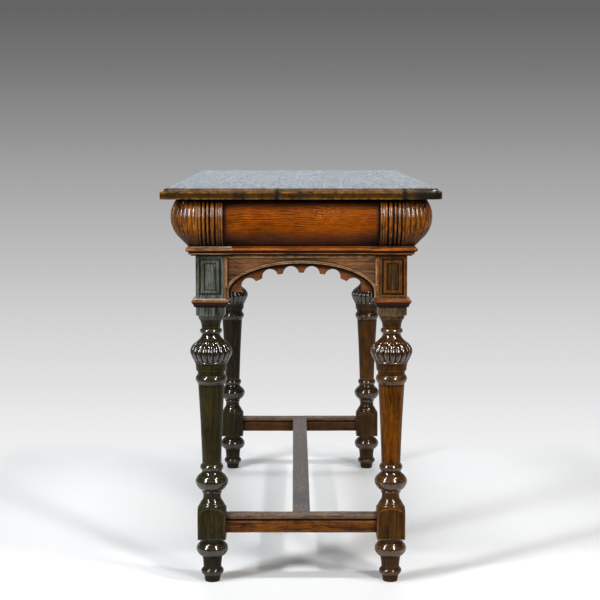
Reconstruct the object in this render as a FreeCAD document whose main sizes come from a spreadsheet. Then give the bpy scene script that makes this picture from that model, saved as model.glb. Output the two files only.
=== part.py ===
import FreeCAD, Part
import os
import Sketcher

# Communion table in oak: a boarded top on a carcase frame, four turned legs with square posts, a bulging
# frieze with carved corners, arched and cusped aprons, and a low H stretcher.
# Millimetres. Z up, X across the table, Y along it, origin on the floor under the middle of the top.
# Most pieces are modelled once, at the front end (-Y), the left side (-X) or the leg between them.
# The others are their mirror images.

SIZES = (
    # top
    ("table_height", 762, "floor to top surface"),
    ("top_length", 1200, "along Y"),
    ("top_width", 520, "along X"),
    ("top_thickness", 21, "boards"),
    ("top_overhang", 88, "top edge to leg axis"),
    ("left_board_width", 215, "first board of the top"),
    ("right_board_width", 72, "last board of the top, the middle one fills the rest"),
    ("edge_ledge", 6, "flat step of the edge moulding"),
    ("edge_fillet", 1.5, "small upright of the edge moulding"),
    ("edge_ovolo_width", 8.4, "rounded part, across"),
    ("edge_ovolo_height", 5, "rounded part, upwards"),
    # posts and rails
    ("post_width", 54, "square parts of the legs"),
    ("post_stand", 7, "posts stand proud of rails and aprons by this"),
    ("rail_thickness", 22, "carcase rails and aprons"),
    ("tenon_thickness", 10, "rails and aprons"),
    ("tenon_length", 24, "rails and aprons"),
    ("tenon_shoulder", 10, "edge of a board to its tenon"),
    ("mortise_extra", 1, "mortise deeper than its tenon"),
    # frieze
    ("frieze_height", 89.5, "under the top"),
    ("frieze_projection", 46.7, "furthest bulge, from the post face"),
    ("frieze_radius", 54, "bulge"),
    ("frieze_centre_height", 54.5, "centre of the bulge above its foot"),
    # moulding under the frieze
    ("moulding_height", 18, "whole moulding"),
    ("moulding_projection", 18.3, "nose, from what carries it"),
    ("moulding_foot", 8.2, "projection at the bottom"),
    ("moulding_foot_height", 2.5, "lowest fillet"),
    ("moulding_bead", 12.8, "projection of the bead"),
    ("moulding_bead_height", 2.5, "bead"),
    ("moulding_cove_height", 3.3, "hollow under the nose"),
    ("moulding_nose_root", 15.4, "projection above and below the nose"),
    ("moulding_nose_height", 7.2, "round nose"),
    # collar at the foot of each post
    ("post_panel_height", 81.5, "collar to moulding"),
    ("collar_height", 16, "whole collar"),
    ("collar_projection", 8.2, "nose, from the post face"),
    ("collar_foot", 3.5, "projection at the bottom"),
    ("collar_foot_height", 3.5, "lowest fillet"),
    ("collar_slope_height", 5.5, "slope from the fillet out to the nose"),
    ("collar_nose_height", 4, "round nose"),
    ("collar_nose_depth", 1, "nose, out from the slopes above and below it"),
    # sunk panels on the posts
    ("panel_width", 42, "outside of the groove"),
    ("panel_height", 69.5, "outside of the groove"),
    ("panel_groove_width", 3.6, "groove"),
    ("panel_groove_depth", 2.5, "groove"),
    ("panel_field_width", 22, "sunk middle"),
    ("panel_field_height", 50.5, "sunk middle"),
    ("panel_field_depth", 3, "sunk middle"),
    # aprons
    ("arch_edge", 2, "post to the arch"),
    ("arch_stilt", 10, "upright foot of the arch"),
    ("arch_rise", 61, "springing to the outside of the band"),
    ("band_width", 6, "flat band round the arch"),
    ("cove_width", 4.4, "step inside the band"),
    ("cove_depth", 6, "step inside the band"),
    ("spandrel_border", 5, "strip round the sunk spandrels"),
    ("spandrel_depth", 2, "sunk spandrels"),
    # cusped fringe inside each arch
    ("fringe_thickness", 8, "board"),
    ("fringe_lap", 8, "held in a rebate behind the arch"),
    ("fringe_side_depth", 40, "arch to the cusps, at the springing"),
    ("fringe_crown_depth", 24, "arch to the cusps, at the crown"),
    ("scallop_radius", 15, "bites between the cusps"),
    ("scallop_pitch", 40, "wanted spacing"),
    ("scallop_side_inset", 38, "arch to the curve of their centres, at the springing"),
    ("scallop_crown_inset", 26, "arch to the curve of their centres, at the crown"),
    ("scallop_end_inset", 6.5, "last centre to the end of that curve"),
    # stretchers
    ("stretcher_width", 34, "across"),
    ("stretcher_height", 33.5, "upwards"),
    ("stretcher_drop", 1.5, "under the top of the leg blocks"),
    ("stretcher_fillet", 7, "top edge to the groove"),
    ("stretcher_groove_width", 3, "groove"),
    ("stretcher_groove_depth", 2, "groove"),
    ("stretcher_tenon_thickness", 12, "across"),
    ("stretcher_tenon_length", 22, "into legs and cross stretchers"),
    ("stretcher_tenon_shoulder", 5, "above and below the tenon"),
    # square parts of the turned legs
    ("block_height", 47, "lower block, without its shoulder"),
    ("shoulder_height", 14, "turned top of the block"),
    ("shoulder_middle", 34.5, "its radius half way up"),
    ("shoulder_top", 25, "its radius at the top"),
    ("abacus_height", 19, "under the collar, with its turned edge"),
    ("abacus_edge_height", 10, "turned lower edge"),
    ("abacus_edge_middle", 35.5, "its radius half way up"),
    ("abacus_edge_foot", 24.5, "its radius at the bottom"),
    # fixings of the top
    ("button_width", 30, "along the rail"),
    ("button_length", 34, "from the rail inwards"),
    ("button_height", 18, "under the top"),
    ("button_tongue_height", 8, "tongue in the rail groove"),
    ("button_tongue_length", 8, "tongue in the rail groove"),
    ("button_groove_gap", 0.5, "groove lower than the tongue"),
    ("side_button_spacing", 300, "along the side rails"),
    ("end_button_spacing", 150, "along the end rails"),
    ("screw_setback", 18, "rail face to screw"),
    ("screw_radius", 2, "shank"),
    ("screw_length", 30, "head to point"),
    ("screw_head_radius", 4, "countersunk head"),
    ("screw_head_height", 2.4, "countersunk head"),
    ("screw_slot_width", 1, "slot"),
    ("screw_slot_depth", 1, "slot"),
)

# Turned stretches of a leg, from the bottom up: name, height, then the radius at the bottom, half way up
# where the stretch is round, and at the top.
FOOT_TURNING = (
    ("foot", 13, 15, None, 16.1),
    ("foot_bead", 15, 16.5, 21.8, 16.8),
    ("ankle", 23, 17.3, 18.3, 20.5),
    ("low_bun", 28, 20.5, 30.5, 22),
    ("low_neck", 8, 19.5, None, 19.5),
)
VASE_TURNING = (
    ("vase_bead", 4, 23.5, 24.3, 23.5),
    ("vase_hollow", 12, 23.5, 20.3, 16.3),
    ("vase_neck", 10.5, 16.8, None, 16.8),
    ("vase_fillet", 4.5, 19, None, 19),
    ("bun_lower", 18, 20.4, 28.2, 31.4),
    ("bun_upper", 16, 31.4, 28.6, 21),
    ("bun_neck", 7, 19.3, None, 19.3),
    ("vase_ring", 12, 19.3, 22.4, 19.3),
)
CAP_TURNING = (
    ("shaft_ring", 18, 25.4, 29.9, 26),
    ("bell", 8, 26, None, 26),
    ("cup", 16, 28.7, None, 30.5),
    ("cup_rim", 2, 31.5, None, 31.5),
    ("bulb_lower", 18, 32.5, 37.2, 40),
    ("bulb_upper", 18, 40, 37.6, 30),
    ("bulb_collar", 14, 30, 21.8, 17.7),
    ("cap_neck", 4, 17.7, None, 17.7),
    ("cap_ring", 9, 17.7, 21.3, 17.7),
    ("cap_throat", 8.5, 18, None, 18),
    ("cap_flare", 10, 19.2, 20.8, 23.5),
    ("cap_fillet", 5.5, 23.5, None, 23.5),
)
SHAFT_RADII = (
    ("shaft_low", 18.2, "radius at the bottom of the shaft"),
    ("shaft_middle", 21, "half way up"),
    ("shaft_high", 25.1, "at the top"),
)

doc = FreeCAD.newDocument("communion_table")
sheet = doc.addObject("Spreadsheet::Sheet", "Sizes")
places = doc.addObject("App::VarSet", "Places")
HALF_ROOT = "sqrt(2) / 2"
# Cuts start and end this far outside what they cut.
CLEAR = 1


def write_sizes(rows):
    """One row of the sheet per size: name, plain number, note."""
    first = 1 + len(sheet.getUsedCells()) // 3
    for row, (name, value, note) in enumerate(rows, first):
        sheet.set(f"A{row}", name)
        sheet.set(f"B{row}", str(value))
        sheet.setAlias(f"B{row}", name)
        sheet.set(f"C{row}", note)


def turning_rows(turning):
    """The sizes of a turned stretch as rows of the sheet."""
    for name, height, low, middle, high in turning:
        yield (f"{name}_height", height, "height of this turning")
        yield (f"{name}_low", low, "radius at its bottom")
        yield (f"{name}_high", high, "radius at its top")
        if middle is not None:
            yield (f"{name}_middle", middle, "radius half way up")


def stack(turning):
    """Height of a turned stretch."""
    return " + ".join(f"Sizes.{name}_height" for name, *radii in turning)


def place(name, expression):
    """A worked-out place or size, kept with the sizes it comes from."""
    places.addProperty("App::PropertyFloat", name)
    places.setExpression(name, expression)


write_sizes(SIZES)
write_sizes(SHAFT_RADII)
for turned in (FOOT_TURNING, VASE_TURNING, CAP_TURNING):
    write_sizes(turning_rows(turned))

place("half_post", "Sizes.post_width / 2")
place("corner", f"half_post * sqrt(2) + {CLEAR}")
place("leg_x", "Sizes.top_width / 2 - Sizes.top_overhang")
place("leg_y", "Sizes.top_length / 2 - Sizes.top_overhang")
place("span_x", "leg_x - half_post")
place("span_y", "leg_y - half_post")
place("left_seam", "Sizes.left_board_width - Sizes.top_width / 2")
place("right_seam", "Sizes.top_width / 2 - Sizes.right_board_width")

place("top_underside", "Sizes.table_height - Sizes.top_thickness")
place("frieze_foot", "top_underside - Sizes.frieze_height")
place("moulding_foot", "frieze_foot - Sizes.moulding_height")
place("collar_head", "moulding_foot - Sizes.post_panel_height")
place("collar_foot", "collar_head - Sizes.collar_height")
place("abacus_foot", "collar_foot - Sizes.abacus_height")
place("cap_foot", f"abacus_foot - ({stack(CAP_TURNING)})")
place("block_foot", stack(FOOT_TURNING))
place("block_head", "block_foot + Sizes.block_height")
place("vase_foot", "block_head + Sizes.shoulder_height")
place("shaft_foot", f"vase_foot + {stack(VASE_TURNING)}")
place("panel_middle", "(collar_head + moulding_foot) / 2")

place("rail_face", "half_post - Sizes.post_stand")
place("rail_back", "rail_face - Sizes.rail_thickness")
place("tenon_back", "rail_back + (Sizes.rail_thickness - Sizes.tenon_thickness) / 2")
place("tenon_face", "tenon_back + Sizes.tenon_thickness")
place("rail_tenon_foot", "frieze_foot + Sizes.tenon_shoulder")
place("groove_head", "top_underside - Sizes.button_height + Sizes.button_tongue_height")
place("groove_foot", "top_underside - Sizes.button_height - Sizes.button_groove_gap")
place("rail_tenon_head", "groove_foot")
place("arch_spring", "collar_head + Sizes.arch_stilt")
place("apron_tenon_foot", "arch_spring + Sizes.arch_rise / 2")
place("apron_tenon_head", "frieze_foot - Sizes.tenon_shoulder")

place("stretcher_head", "block_head - Sizes.stretcher_drop")
place("stretcher_foot", "stretcher_head - Sizes.stretcher_height")
place("stretcher_tenon_foot", "stretcher_foot + Sizes.stretcher_tenon_shoulder")
place("stretcher_tenon_head", "stretcher_head - Sizes.stretcher_tenon_shoulder")
place("half_stretcher", "Sizes.stretcher_width / 2")
place("half_stretcher_tenon", "Sizes.stretcher_tenon_thickness / 2")
place("cross_face", "leg_y - half_stretcher")
doc.recompute()

# The two directions of the frame. A rail runs along one axis and faces outwards on the other.
END = {
    "along": "x", "out": "y", "leg": "Places.leg_y", "span": "Places.span_x", "beside": "Places.leg_x",
    "section": "YZ_Plane",
    "upright": FreeCAD.Rotation(FreeCAD.Vector(1, 0, 0), FreeCAD.Vector(0, 0, 1), FreeCAD.Vector(0, -1, 0)),
    "inwards": FreeCAD.Vector(0, 1, 0),
}
SIDE = {
    "along": "y", "out": "x", "leg": "Places.leg_x", "span": "Places.span_y", "beside": "Places.leg_y",
    "section": "XZ_Plane",
    "upright": FreeCAD.Rotation(FreeCAD.Vector(0, 1, 0), FreeCAD.Vector(0, 0, 1), FreeCAD.Vector(1, 0, 0)),
    "inwards": FreeCAD.Vector(1, 0, 0),
}


def outwards(way, offset):
    """Coordinate of something that lies offset outside the line of the legs."""
    return f"-({way['leg']} + ({offset}))"


# ---------------------------------------------------------------------------------------------------------
# Sketches and features
# ---------------------------------------------------------------------------------------------------------

def draw(sketch, outline):
    """Close an outline of (x, y) corners. In (x, y, x2, y2) an arc goes by way of (x2, y2) to (x, y)."""
    def number(expression):
        return float(sketch.evalExpression(expression))

    first = len(sketch.Geometry)
    corners = [FreeCAD.Vector(number(point[0]), number(point[1]), 0) for point in outline]
    passed = [FreeCAD.Vector(number(point[2]), number(point[3]), 0) if len(point) == 4 else None
              for point in outline]
    edges = []
    ends = []
    for index, corner in enumerate(corners):
        before = corners[index - 1]
        halfway = passed[index]
        if halfway is None:
            edges.append(Part.LineSegment(before, corner))
            ends.append((1, 2))
        elif (corner - before).cross(halfway - before).z < 0:
            edges.append(Part.Arc(before, halfway, corner))
            ends.append((1, 2))
        else:
            edges.append(Part.Arc(corner, halfway, before))
            ends.append((2, 1))
    sketch.addGeometry(edges)
    rules = []
    for index, corner in enumerate(corners):
        after = (index + 1) % len(corners)
        edge = first + index
        joint = Sketcher.Constraint("Coincident", edge, ends[index][1], first + after, ends[after][0])
        across = Sketcher.Constraint("DistanceX", -1, 1, edge, ends[index][1], corner.x)
        upwards = Sketcher.Constraint("DistanceY", -1, 1, edge, ends[index][1], corner.y)
        rules += [(joint, None), (across, outline[index][0]), (upwards, outline[index][1])]
        if passed[index] is not None:
            point = sketch.addGeometry(Part.Point(passed[index]), True)
            on_arc = Sketcher.Constraint("PointOnObject", point, 1, edge)
            across = Sketcher.Constraint("DistanceX", -1, 1, point, 1, passed[index].x)
            upwards = Sketcher.Constraint("DistanceY", -1, 1, point, 1, passed[index].y)
            rules += [(on_arc, None), (across, outline[index][2]), (upwards, outline[index][3])]
    numbers = sketch.addConstraint([rule for rule, expression in rules])
    for number_in_sketch, (rule, expression) in zip(numbers, rules):
        if expression is not None:
            sketch.setExpression(f"Constraints[{number_in_sketch}]", expression)


def new_body(name, x="0", y="0"):
    """An empty body that stands at x, y."""
    body = doc.addObject("PartDesign::Body", name)
    body.setExpression("Placement.Base.x", x)
    body.setExpression("Placement.Base.y", y)
    return body


def sketch_on(body, role, *outlines, offset=("0", "0", "0")):
    """A sketch on one of the body's own origin planes, moved by offset in that plane's axes."""
    plane = next(feature for feature in body.Origin.OriginFeatures if feature.Role == role)
    sketch = body.newObject("Sketcher::SketchObject", f"{body.Name}_sketch")
    sketch.AttachmentSupport = (plane, "")
    sketch.MapMode = "FlatFace"
    for axis, expression in zip("xyz", offset):
        sketch.setExpression(f"AttachmentOffset.Base.{axis}", expression)
    for outline in outlines:
        draw(sketch, outline)
    return sketch


def pad(body, sketch, length, both_ways=False):
    """Pad a sketch along its normal, or half to each side."""
    feature = body.newObject("PartDesign::Pad", f"{body.Name}_pad")
    feature.Profile = sketch
    feature.SideType = "Symmetric" if both_ways else "One side"
    feature.setExpression("Length", length)


def pocket_through(body, sketch):
    """Cut a sketch through the whole body, to both sides."""
    feature = body.newObject("PartDesign::Pocket", f"{body.Name}_pocket")
    feature.Profile = sketch
    feature.SideType = "Symmetric"
    feature.Type = "ThroughAll"


def turn(body, kind, sketch, angle=360):
    """Revolution or Groove of a sketch about its upright axis."""
    feature = body.newObject(f"PartDesign::{kind}", f"{body.Name}_{kind.lower()}")
    feature.Profile = sketch
    feature.ReferenceAxis = (sketch, ["V_Axis"])
    feature.Angle = angle


def box(name, x, y, z):
    """Box between pairs of places."""
    made = doc.addObject("Part::Box", name)
    for size, axis, (low, high) in zip(("Length", "Width", "Height"), "xyz", (x, y, z)):
        made.setExpression(size, f"({high}) - ({low})")
        made.setExpression(f"Placement.Base.{axis}", low)
    return made


def slab(name, way, along, out, up):
    """Box given along the rail, outwards from the line of the legs, and upwards."""
    outer = (outwards(way, out[1]), outwards(way, out[0]))
    if way is END:
        return box(name, along, outer, up)
    return box(name, outer, along, up)


def cut(name, base, *tools):
    """Base without the tools."""
    made = doc.addObject("Part::Cut", name)
    made.Base = base
    made.Tool = tools[0] if len(tools) == 1 else join(f"{name}_tools", *tools)
    return made


def join(name, *shapes):
    """All shapes as one."""
    made = doc.addObject("Part::MultiFuse", name)
    made.Shapes = list(shapes)
    return made


def overlap(name, first, second):
    """What two shapes have in common."""
    made = doc.addObject("Part::Common", name)
    made.Base = first
    made.Tool = second
    return made


def group(name, *pieces):
    """Separate pieces in one node."""
    made = doc.addObject("Part::Compound", name)
    made.Links = list(pieces)
    return made


def mirrored(name, source, normal, x="0", y="0"):
    """Mirror image in an upright plane through x, y."""
    made = doc.addObject("Part::Mirroring", name)
    made.Source = source
    made.Normal = normal
    made.setExpression("Base.x", x)
    made.setExpression("Base.y", y)
    return made


ACROSS = FreeCAD.Vector(1, 0, 0)
ALONG = FreeCAD.Vector(0, 1, 0)
nodes = []


def keep(*pieces):
    """Pieces that become nodes."""
    nodes.extend(pieces)


def keep_pair(piece, first, second, normal):
    """A piece and its mirror image, as two nodes."""
    piece.Label = f"{piece.Name}_{first}"
    keep(piece, mirrored(f"{piece.Name}_{second}", piece, normal))


def keep_four(piece):
    """A piece of the front left corner and its mirror images at the other corners."""
    rear_left = mirrored(f"{piece.Name}_rear_left", piece, ALONG)
    front_right = mirrored(f"{piece.Name}_front_right", piece, ACROSS)
    rear_right = mirrored(f"{piece.Name}_rear_right", rear_left, ACROSS)
    piece.Label = f"{piece.Name}_front_left"
    keep(piece, front_right, rear_left, rear_right)


# ---------------------------------------------------------------------------------------------------------
# Legs: square post, turned cap, shaft and vase, square block, turned foot
# ---------------------------------------------------------------------------------------------------------

def turned_outline(foot, turning):
    """From the axis out, up the turnings, and back to the axis."""
    level = foot
    outline = [("0", foot)]
    for name, height, low, middle, high in turning:
        outline.append((f"Sizes.{name}_low", level))
        start = level
        level = f"{level} + Sizes.{name}_height"
        if middle is None:
            outline.append((f"Sizes.{name}_high", level))
        else:
            half_way = f"{start} + Sizes.{name}_height / 2"
            outline.append((f"Sizes.{name}_high", level, f"Sizes.{name}_middle", half_way))
    outline.append(("0", level))
    return without_repeats(outline)


def without_repeats(outline):
    """Drop a corner that falls on the one before it."""
    kept = []
    for point in outline:
        spot = [float(places.evalExpression(expression)) for expression in point[:2]]
        if not kept or spot != last:
            kept.append(point)
        last = spot
    return kept


POST_SQUARE = [
    ("-Places.half_post", "-Places.half_post"),
    ("Places.half_post", "-Places.half_post"),
    ("Places.half_post", "Places.half_post"),
    ("-Places.half_post", "Places.half_post"),
]


def turned_leg():
    """The leg as it comes off the lathe, before its joints are cut."""
    body = new_body("leg_blank", "-Places.leg_x", "-Places.leg_y")
    pad(body, sketch_on(body, "XY_Plane", POST_SQUARE, offset=("0", "0", "Places.abacus_foot")),
        "Places.top_underside - Places.abacus_foot")
    abacus_edge = [
        ("Places.corner", "Places.abacus_foot"),
        ("Places.corner", "Places.abacus_foot + Sizes.abacus_edge_height"),
        ("Sizes.abacus_edge_foot", "Places.abacus_foot",
         "Sizes.abacus_edge_middle", "Places.abacus_foot + Sizes.abacus_edge_height / 2"),
    ]
    turn(body, "Groove", sketch_on(body, "XZ_Plane", abacus_edge))
    turn(body, "Revolution", sketch_on(body, "XZ_Plane", turned_outline("Places.cap_foot", CAP_TURNING)))
    shaft_halfway = "(Places.shaft_foot + Places.cap_foot) / 2"
    shaft = [
        ("0", "Places.shaft_foot"),
        ("Sizes.shaft_low", "Places.shaft_foot"),
        ("Sizes.shaft_middle", shaft_halfway),
        ("Sizes.shaft_high", "Places.cap_foot"),
        ("0", "Places.cap_foot"),
    ]
    turn(body, "Revolution", sketch_on(body, "XZ_Plane", shaft))
    turn(body, "Revolution", sketch_on(body, "XZ_Plane", turned_outline("Places.vase_foot", VASE_TURNING)))
    pad(body, sketch_on(body, "XY_Plane", POST_SQUARE, offset=("0", "0", "Places.block_foot")),
        "Places.vase_foot - Places.block_foot")
    shoulder_middle = "Places.block_head + Sizes.shoulder_height / 2"
    shoulder = [
        ("Places.corner", "Places.vase_foot"),
        ("Sizes.shoulder_top", "Places.vase_foot"),
        ("Places.corner", "Places.block_head", "Sizes.shoulder_middle", shoulder_middle),
    ]
    turn(body, "Groove", sketch_on(body, "XZ_Plane", shoulder))
    turn(body, "Revolution", sketch_on(body, "XZ_Plane", turned_outline("0", FOOT_TURNING)))
    return body


def mortise(name, way, thickness, up, length):
    """Mortise in the face of a leg that a rail of this direction meets."""
    deep = f"-({way['span']} + {length} + Sizes.mortise_extra)"
    return slab(name, way, (deep, f"-{way['span']}"), thickness, up)


def centred(way, width):
    """Pair of places either side of the middle of a leg, along a rail."""
    return (f"-{way['beside']} - {width} / 2", f"-{way['beside']} + {width} / 2")


def raised(height):
    """Pair of heights either side of the middle of the post panels."""
    return (f"Places.panel_middle - {height} / 2", f"Places.panel_middle + {height} / 2")


def post_panel(name, way):
    """Groove round a panel, and its sunk middle, on one face of a post."""
    floor = ("Places.half_post - Sizes.panel_groove_depth", "Places.half_post")
    outer = slab(f"{name}_outside", way, centred(way, "Sizes.panel_width"), floor,
                 raised("Sizes.panel_height"))
    inner_width = "(Sizes.panel_width - 2 * Sizes.panel_groove_width)"
    inner_height = "(Sizes.panel_height - 2 * Sizes.panel_groove_width)"
    inner = slab(f"{name}_inside", way, centred(way, inner_width), floor, raised(inner_height))
    sunk = ("Places.half_post - Sizes.panel_field_depth", "Places.half_post")
    field = slab(f"{name}_field", way, centred(way, "Sizes.panel_field_width"), sunk,
                 raised("Sizes.panel_field_height"))
    return [cut(f"{name}_groove", outer, inner), field]


def legs():
    """Four legs with their mortises and sunk panels."""
    tools = []
    for label, way in (("end", END), ("side", SIDE)):
        thickness = ("Places.tenon_back", "Places.tenon_face")
        rail = ("Places.rail_tenon_foot", "Places.rail_tenon_head")
        apron = ("Places.apron_tenon_foot", "Places.apron_tenon_head")
        tools.append(mortise(f"{label}_rail_mortise", way, thickness, rail, "Sizes.tenon_length"))
        tools.append(mortise(f"{label}_apron_mortise", way, thickness, apron, "Sizes.tenon_length"))
        tools += post_panel(f"{label}_panel", way)
    tenon = ("-Places.half_stretcher_tenon", "Places.half_stretcher_tenon")
    up = ("Places.stretcher_tenon_foot", "Places.stretcher_tenon_head")
    tools.append(mortise("stretcher_mortise", END, tenon, up, "Sizes.stretcher_tenon_length"))
    keep_four(cut("leg", turned_leg(), *tools))


# ---------------------------------------------------------------------------------------------------------
# Mouldings: a plan cut to its mitres, then worked to the section
# ---------------------------------------------------------------------------------------------------------

def moulding_waste(face):
    """What is planed off outside the section of the moulding under the frieze."""
    def projecting(size):
        return f"-({face} + {size})"

    foot = "Places.moulding_foot"
    step = f"{foot} + Sizes.moulding_foot_height"
    bead = f"{step} + Sizes.moulding_bead_height"
    cove = f"{bead} + Sizes.moulding_cove_height"
    nose = f"{cove} + Sizes.moulding_nose_height"
    clear = projecting(f"Sizes.moulding_projection + {CLEAR}")
    hollow = f"(Sizes.moulding_bead * {HALF_ROOT} + Sizes.moulding_nose_root * (1 - {HALF_ROOT}))"
    return [
        (clear, foot),
        (projecting("Sizes.moulding_foot"), foot),
        (projecting("Sizes.moulding_foot"), step),
        (projecting("Sizes.moulding_bead"), step),
        (projecting("Sizes.moulding_bead"), bead),
        (projecting("Sizes.moulding_nose_root"), cove,
         projecting(hollow), f"{bead} + Sizes.moulding_cove_height * {HALF_ROOT}"),
        (projecting("Sizes.moulding_nose_root"), nose,
         projecting("Sizes.moulding_projection"), f"({cove} + {nose}) / 2"),
        (projecting("Sizes.moulding_nose_root"), "Places.frieze_foot"),
        (clear, "Places.frieze_foot"),
    ]


def collar_waste():
    """What is planed off outside the section of a post collar."""
    def projecting(size):
        return f"-(Places.half_post + {size})"

    foot = "Places.collar_foot"
    step = f"{foot} + Sizes.collar_foot_height"
    under = f"{step} + Sizes.collar_slope_height"
    nose = f"{under} + Sizes.collar_nose_height"
    root = projecting("Sizes.collar_projection - Sizes.collar_nose_depth")
    clear = projecting(f"Sizes.collar_projection + {CLEAR}")
    return [
        (clear, foot),
        (projecting("Sizes.collar_foot"), foot),
        (projecting("Sizes.collar_foot"), step),
        (root, under),
        (root, nose, projecting("Sizes.collar_projection"), f"({under} + {nose}) / 2"),
        ("-Places.half_post", "Places.collar_head"),
        (clear, "Places.collar_head"),
    ]


def moulded(name, plan, waste, section, foot, height, x="0", y="0", angle=0):
    """A length of moulding: its plan padded up, less the waste outside its section."""
    body = new_body(name, x, y)
    body.Placement.Rotation = FreeCAD.Rotation(FreeCAD.Vector(0, 0, 1), angle)
    pad(body, sketch_on(body, "XY_Plane", plan, offset=("0", "0", foot)), height)
    pocket_through(body, sketch_on(body, section, waste))
    return body


def collars():
    """Four mitred strips round the foot of each post."""
    nose = "(Places.half_post + Sizes.collar_projection)"
    plan = [
        ("-Places.half_post", "-Places.half_post"),
        ("Places.half_post", "-Places.half_post"),
        (nose, f"-{nose}"),
        (f"-{nose}", f"-{nose}"),
    ]
    strips = [moulded(f"collar_strip_{quarter}", plan, collar_waste(), "YZ_Plane", "Places.collar_foot",
                      "Sizes.collar_height", "-Places.leg_x", "-Places.leg_y", 90 * quarter)
              for quarter in range(4)]
    keep_four(group("collar", *strips))


def corner_mouldings():
    """The moulding breaks forward round the two outer faces of each post and returns to the aprons."""
    nose = "(Places.half_post + Sizes.moulding_projection)"
    front = [
        ("-Places.half_post", "-Places.half_post"),
        ("Places.half_post", "-Places.half_post"),
        (nose, f"-{nose}"),
        (f"-{nose}", f"-{nose}"),
    ]
    back = [
        ("Places.half_post", "-Places.half_post"),
        ("Places.half_post", "-Places.rail_face"),
        (nose, "-(Places.rail_face + Sizes.moulding_projection)"),
        (nose, f"-{nose}"),
    ]
    here = ("-Places.leg_x", "-Places.leg_y")
    waste = moulding_waste("Places.half_post")
    waste_inside = [tuple(expression if index % 2 else f"-({expression})"
                          for index, expression in enumerate(point)) for point in waste]
    front_strip = moulded("moulding_front_strip", front, waste, "YZ_Plane", "Places.moulding_foot",
                          "Sizes.moulding_height", *here)
    return_strip = moulded("moulding_return_strip", back, waste_inside, "XZ_Plane", "Places.moulding_foot",
                           "Sizes.moulding_height", *here)
    diagonal = FreeCAD.Vector(1, -1, 0)
    keep_four(group("corner_moulding", front_strip, return_strip,
                    mirrored("moulding_side_strip", front_strip, diagonal, *here),
                    mirrored("moulding_side_return", return_strip, diagonal, *here)))


def straight_moulding(name, way):
    """The moulding between two posts, mitred into their returns."""
    back = outwards(way, "Places.rail_face")
    nose = outwards(way, "Places.rail_face + Sizes.moulding_projection")
    short = f"({way['span']} - Sizes.moulding_projection)"
    plan = [(f"-{way['span']}", back), (way["span"], back), (short, nose), (f"-{short}", nose)]
    if way is SIDE:
        plan = [(out, along) for along, out in plan]
    waste = moulding_waste(f"{way['leg']} + Places.rail_face")
    return moulded(name, plan, waste, way["section"], "Places.moulding_foot", "Sizes.moulding_height")


# ---------------------------------------------------------------------------------------------------------
# Frieze
# ---------------------------------------------------------------------------------------------------------

def frieze_outline(axis, back, face):
    """Bulging section. Distances are outwards from axis: back is its flat, face what the bulge stands on."""
    def out(distance):
        return f"-({axis} + {distance})"

    centre = f"({face} + Sizes.frieze_projection - Sizes.frieze_radius)"
    level = "(Places.frieze_foot + Sizes.frieze_centre_height)"
    rise = f"(Places.top_underside - {level})"
    slope = f"Sizes.frieze_radius * {HALF_ROOT}"
    toe = f"({centre} + Sizes.frieze_radius * sqrt(2) - Sizes.frieze_centre_height)"
    return [
        (out(back), "Places.frieze_foot"),
        (out(toe), "Places.frieze_foot"),
        (out(f"({centre} + {slope})"), f"{level} - {slope}"),
        (out(f"({centre} + sqrt(Sizes.frieze_radius ^ 2 - {rise} ^ 2))"), "Places.top_underside",
         out(f"({centre} + Sizes.frieze_radius)"), level),
        (out(back), "Places.top_underside"),
    ]


def frieze_corners():
    """Blocks that carry the frieze round the posts. Their corner is the same section, revolved."""
    body = new_body("frieze_corner", "-Places.leg_x", "-Places.leg_y")
    centre = "(Places.half_post + Sizes.frieze_projection - Sizes.frieze_radius)"
    section = frieze_outline("0", "Places.half_post", "Places.half_post")
    arm = f"{centre} + Places.half_post"
    pad(body, sketch_on(body, "YZ_Plane", section, offset=("0", "0", f"-{centre}")), arm)
    pad(body, sketch_on(body, "XZ_Plane", section, offset=("0", "0", "-Places.half_post")), arm)
    rounded = frieze_outline(f"-{centre}", centre, "Places.half_post")
    turn(body, "Revolution", sketch_on(body, "XZ_Plane", rounded, offset=(f"-{centre}", "0", centre)), 90)
    pocket_through(body, sketch_on(body, "XY_Plane", POST_SQUARE))
    keep_four(body)


def frieze_board(name, way):
    """Plain bulging board between two corner blocks."""
    body = new_body(name)
    section = frieze_outline(way["leg"], "Places.rail_face", "Places.rail_face")
    pad(body, sketch_on(body, way["section"], section), f"2 * {way['span']}", both_ways=True)
    return body


# ---------------------------------------------------------------------------------------------------------
# Rails, aprons and fringes
# ---------------------------------------------------------------------------------------------------------

def tenoned(name, way, section, tenon_foot, tenon_head):
    """A board between two posts with a tenon at each end."""
    body = new_body(name)
    pad(body, sketch_on(body, way["section"], section), f"2 * {way['span']}", both_ways=True)
    tenon = [
        (outwards(way, "Places.tenon_face"), tenon_foot),
        (outwards(way, "Places.tenon_back"), tenon_foot),
        (outwards(way, "Places.tenon_back"), tenon_head),
        (outwards(way, "Places.tenon_face"), tenon_head),
    ]
    pad(body, sketch_on(body, way["section"], tenon), f"2 * ({way['span']} + Sizes.tenon_length)",
        both_ways=True)
    return body


def rail(name, way):
    """Carcase rail behind the frieze, grooved inside for the buttons that hold the top."""
    face = outwards(way, "Places.rail_face")
    back = outwards(way, "Places.rail_back")
    groove_floor = outwards(way, "Places.rail_back + Sizes.button_tongue_length + Sizes.mortise_extra")
    section = [
        (face, "Places.frieze_foot"),
        (back, "Places.frieze_foot"),
        (back, "Places.groove_foot"),
        (groove_floor, "Places.groove_foot"),
        (groove_floor, "Places.groove_head"),
        (back, "Places.groove_head"),
        (back, "Places.top_underside"),
        (face, "Places.top_underside"),
    ]
    return tenoned(name, way, section, "Places.rail_tenon_foot", "Places.rail_tenon_head")


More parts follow.
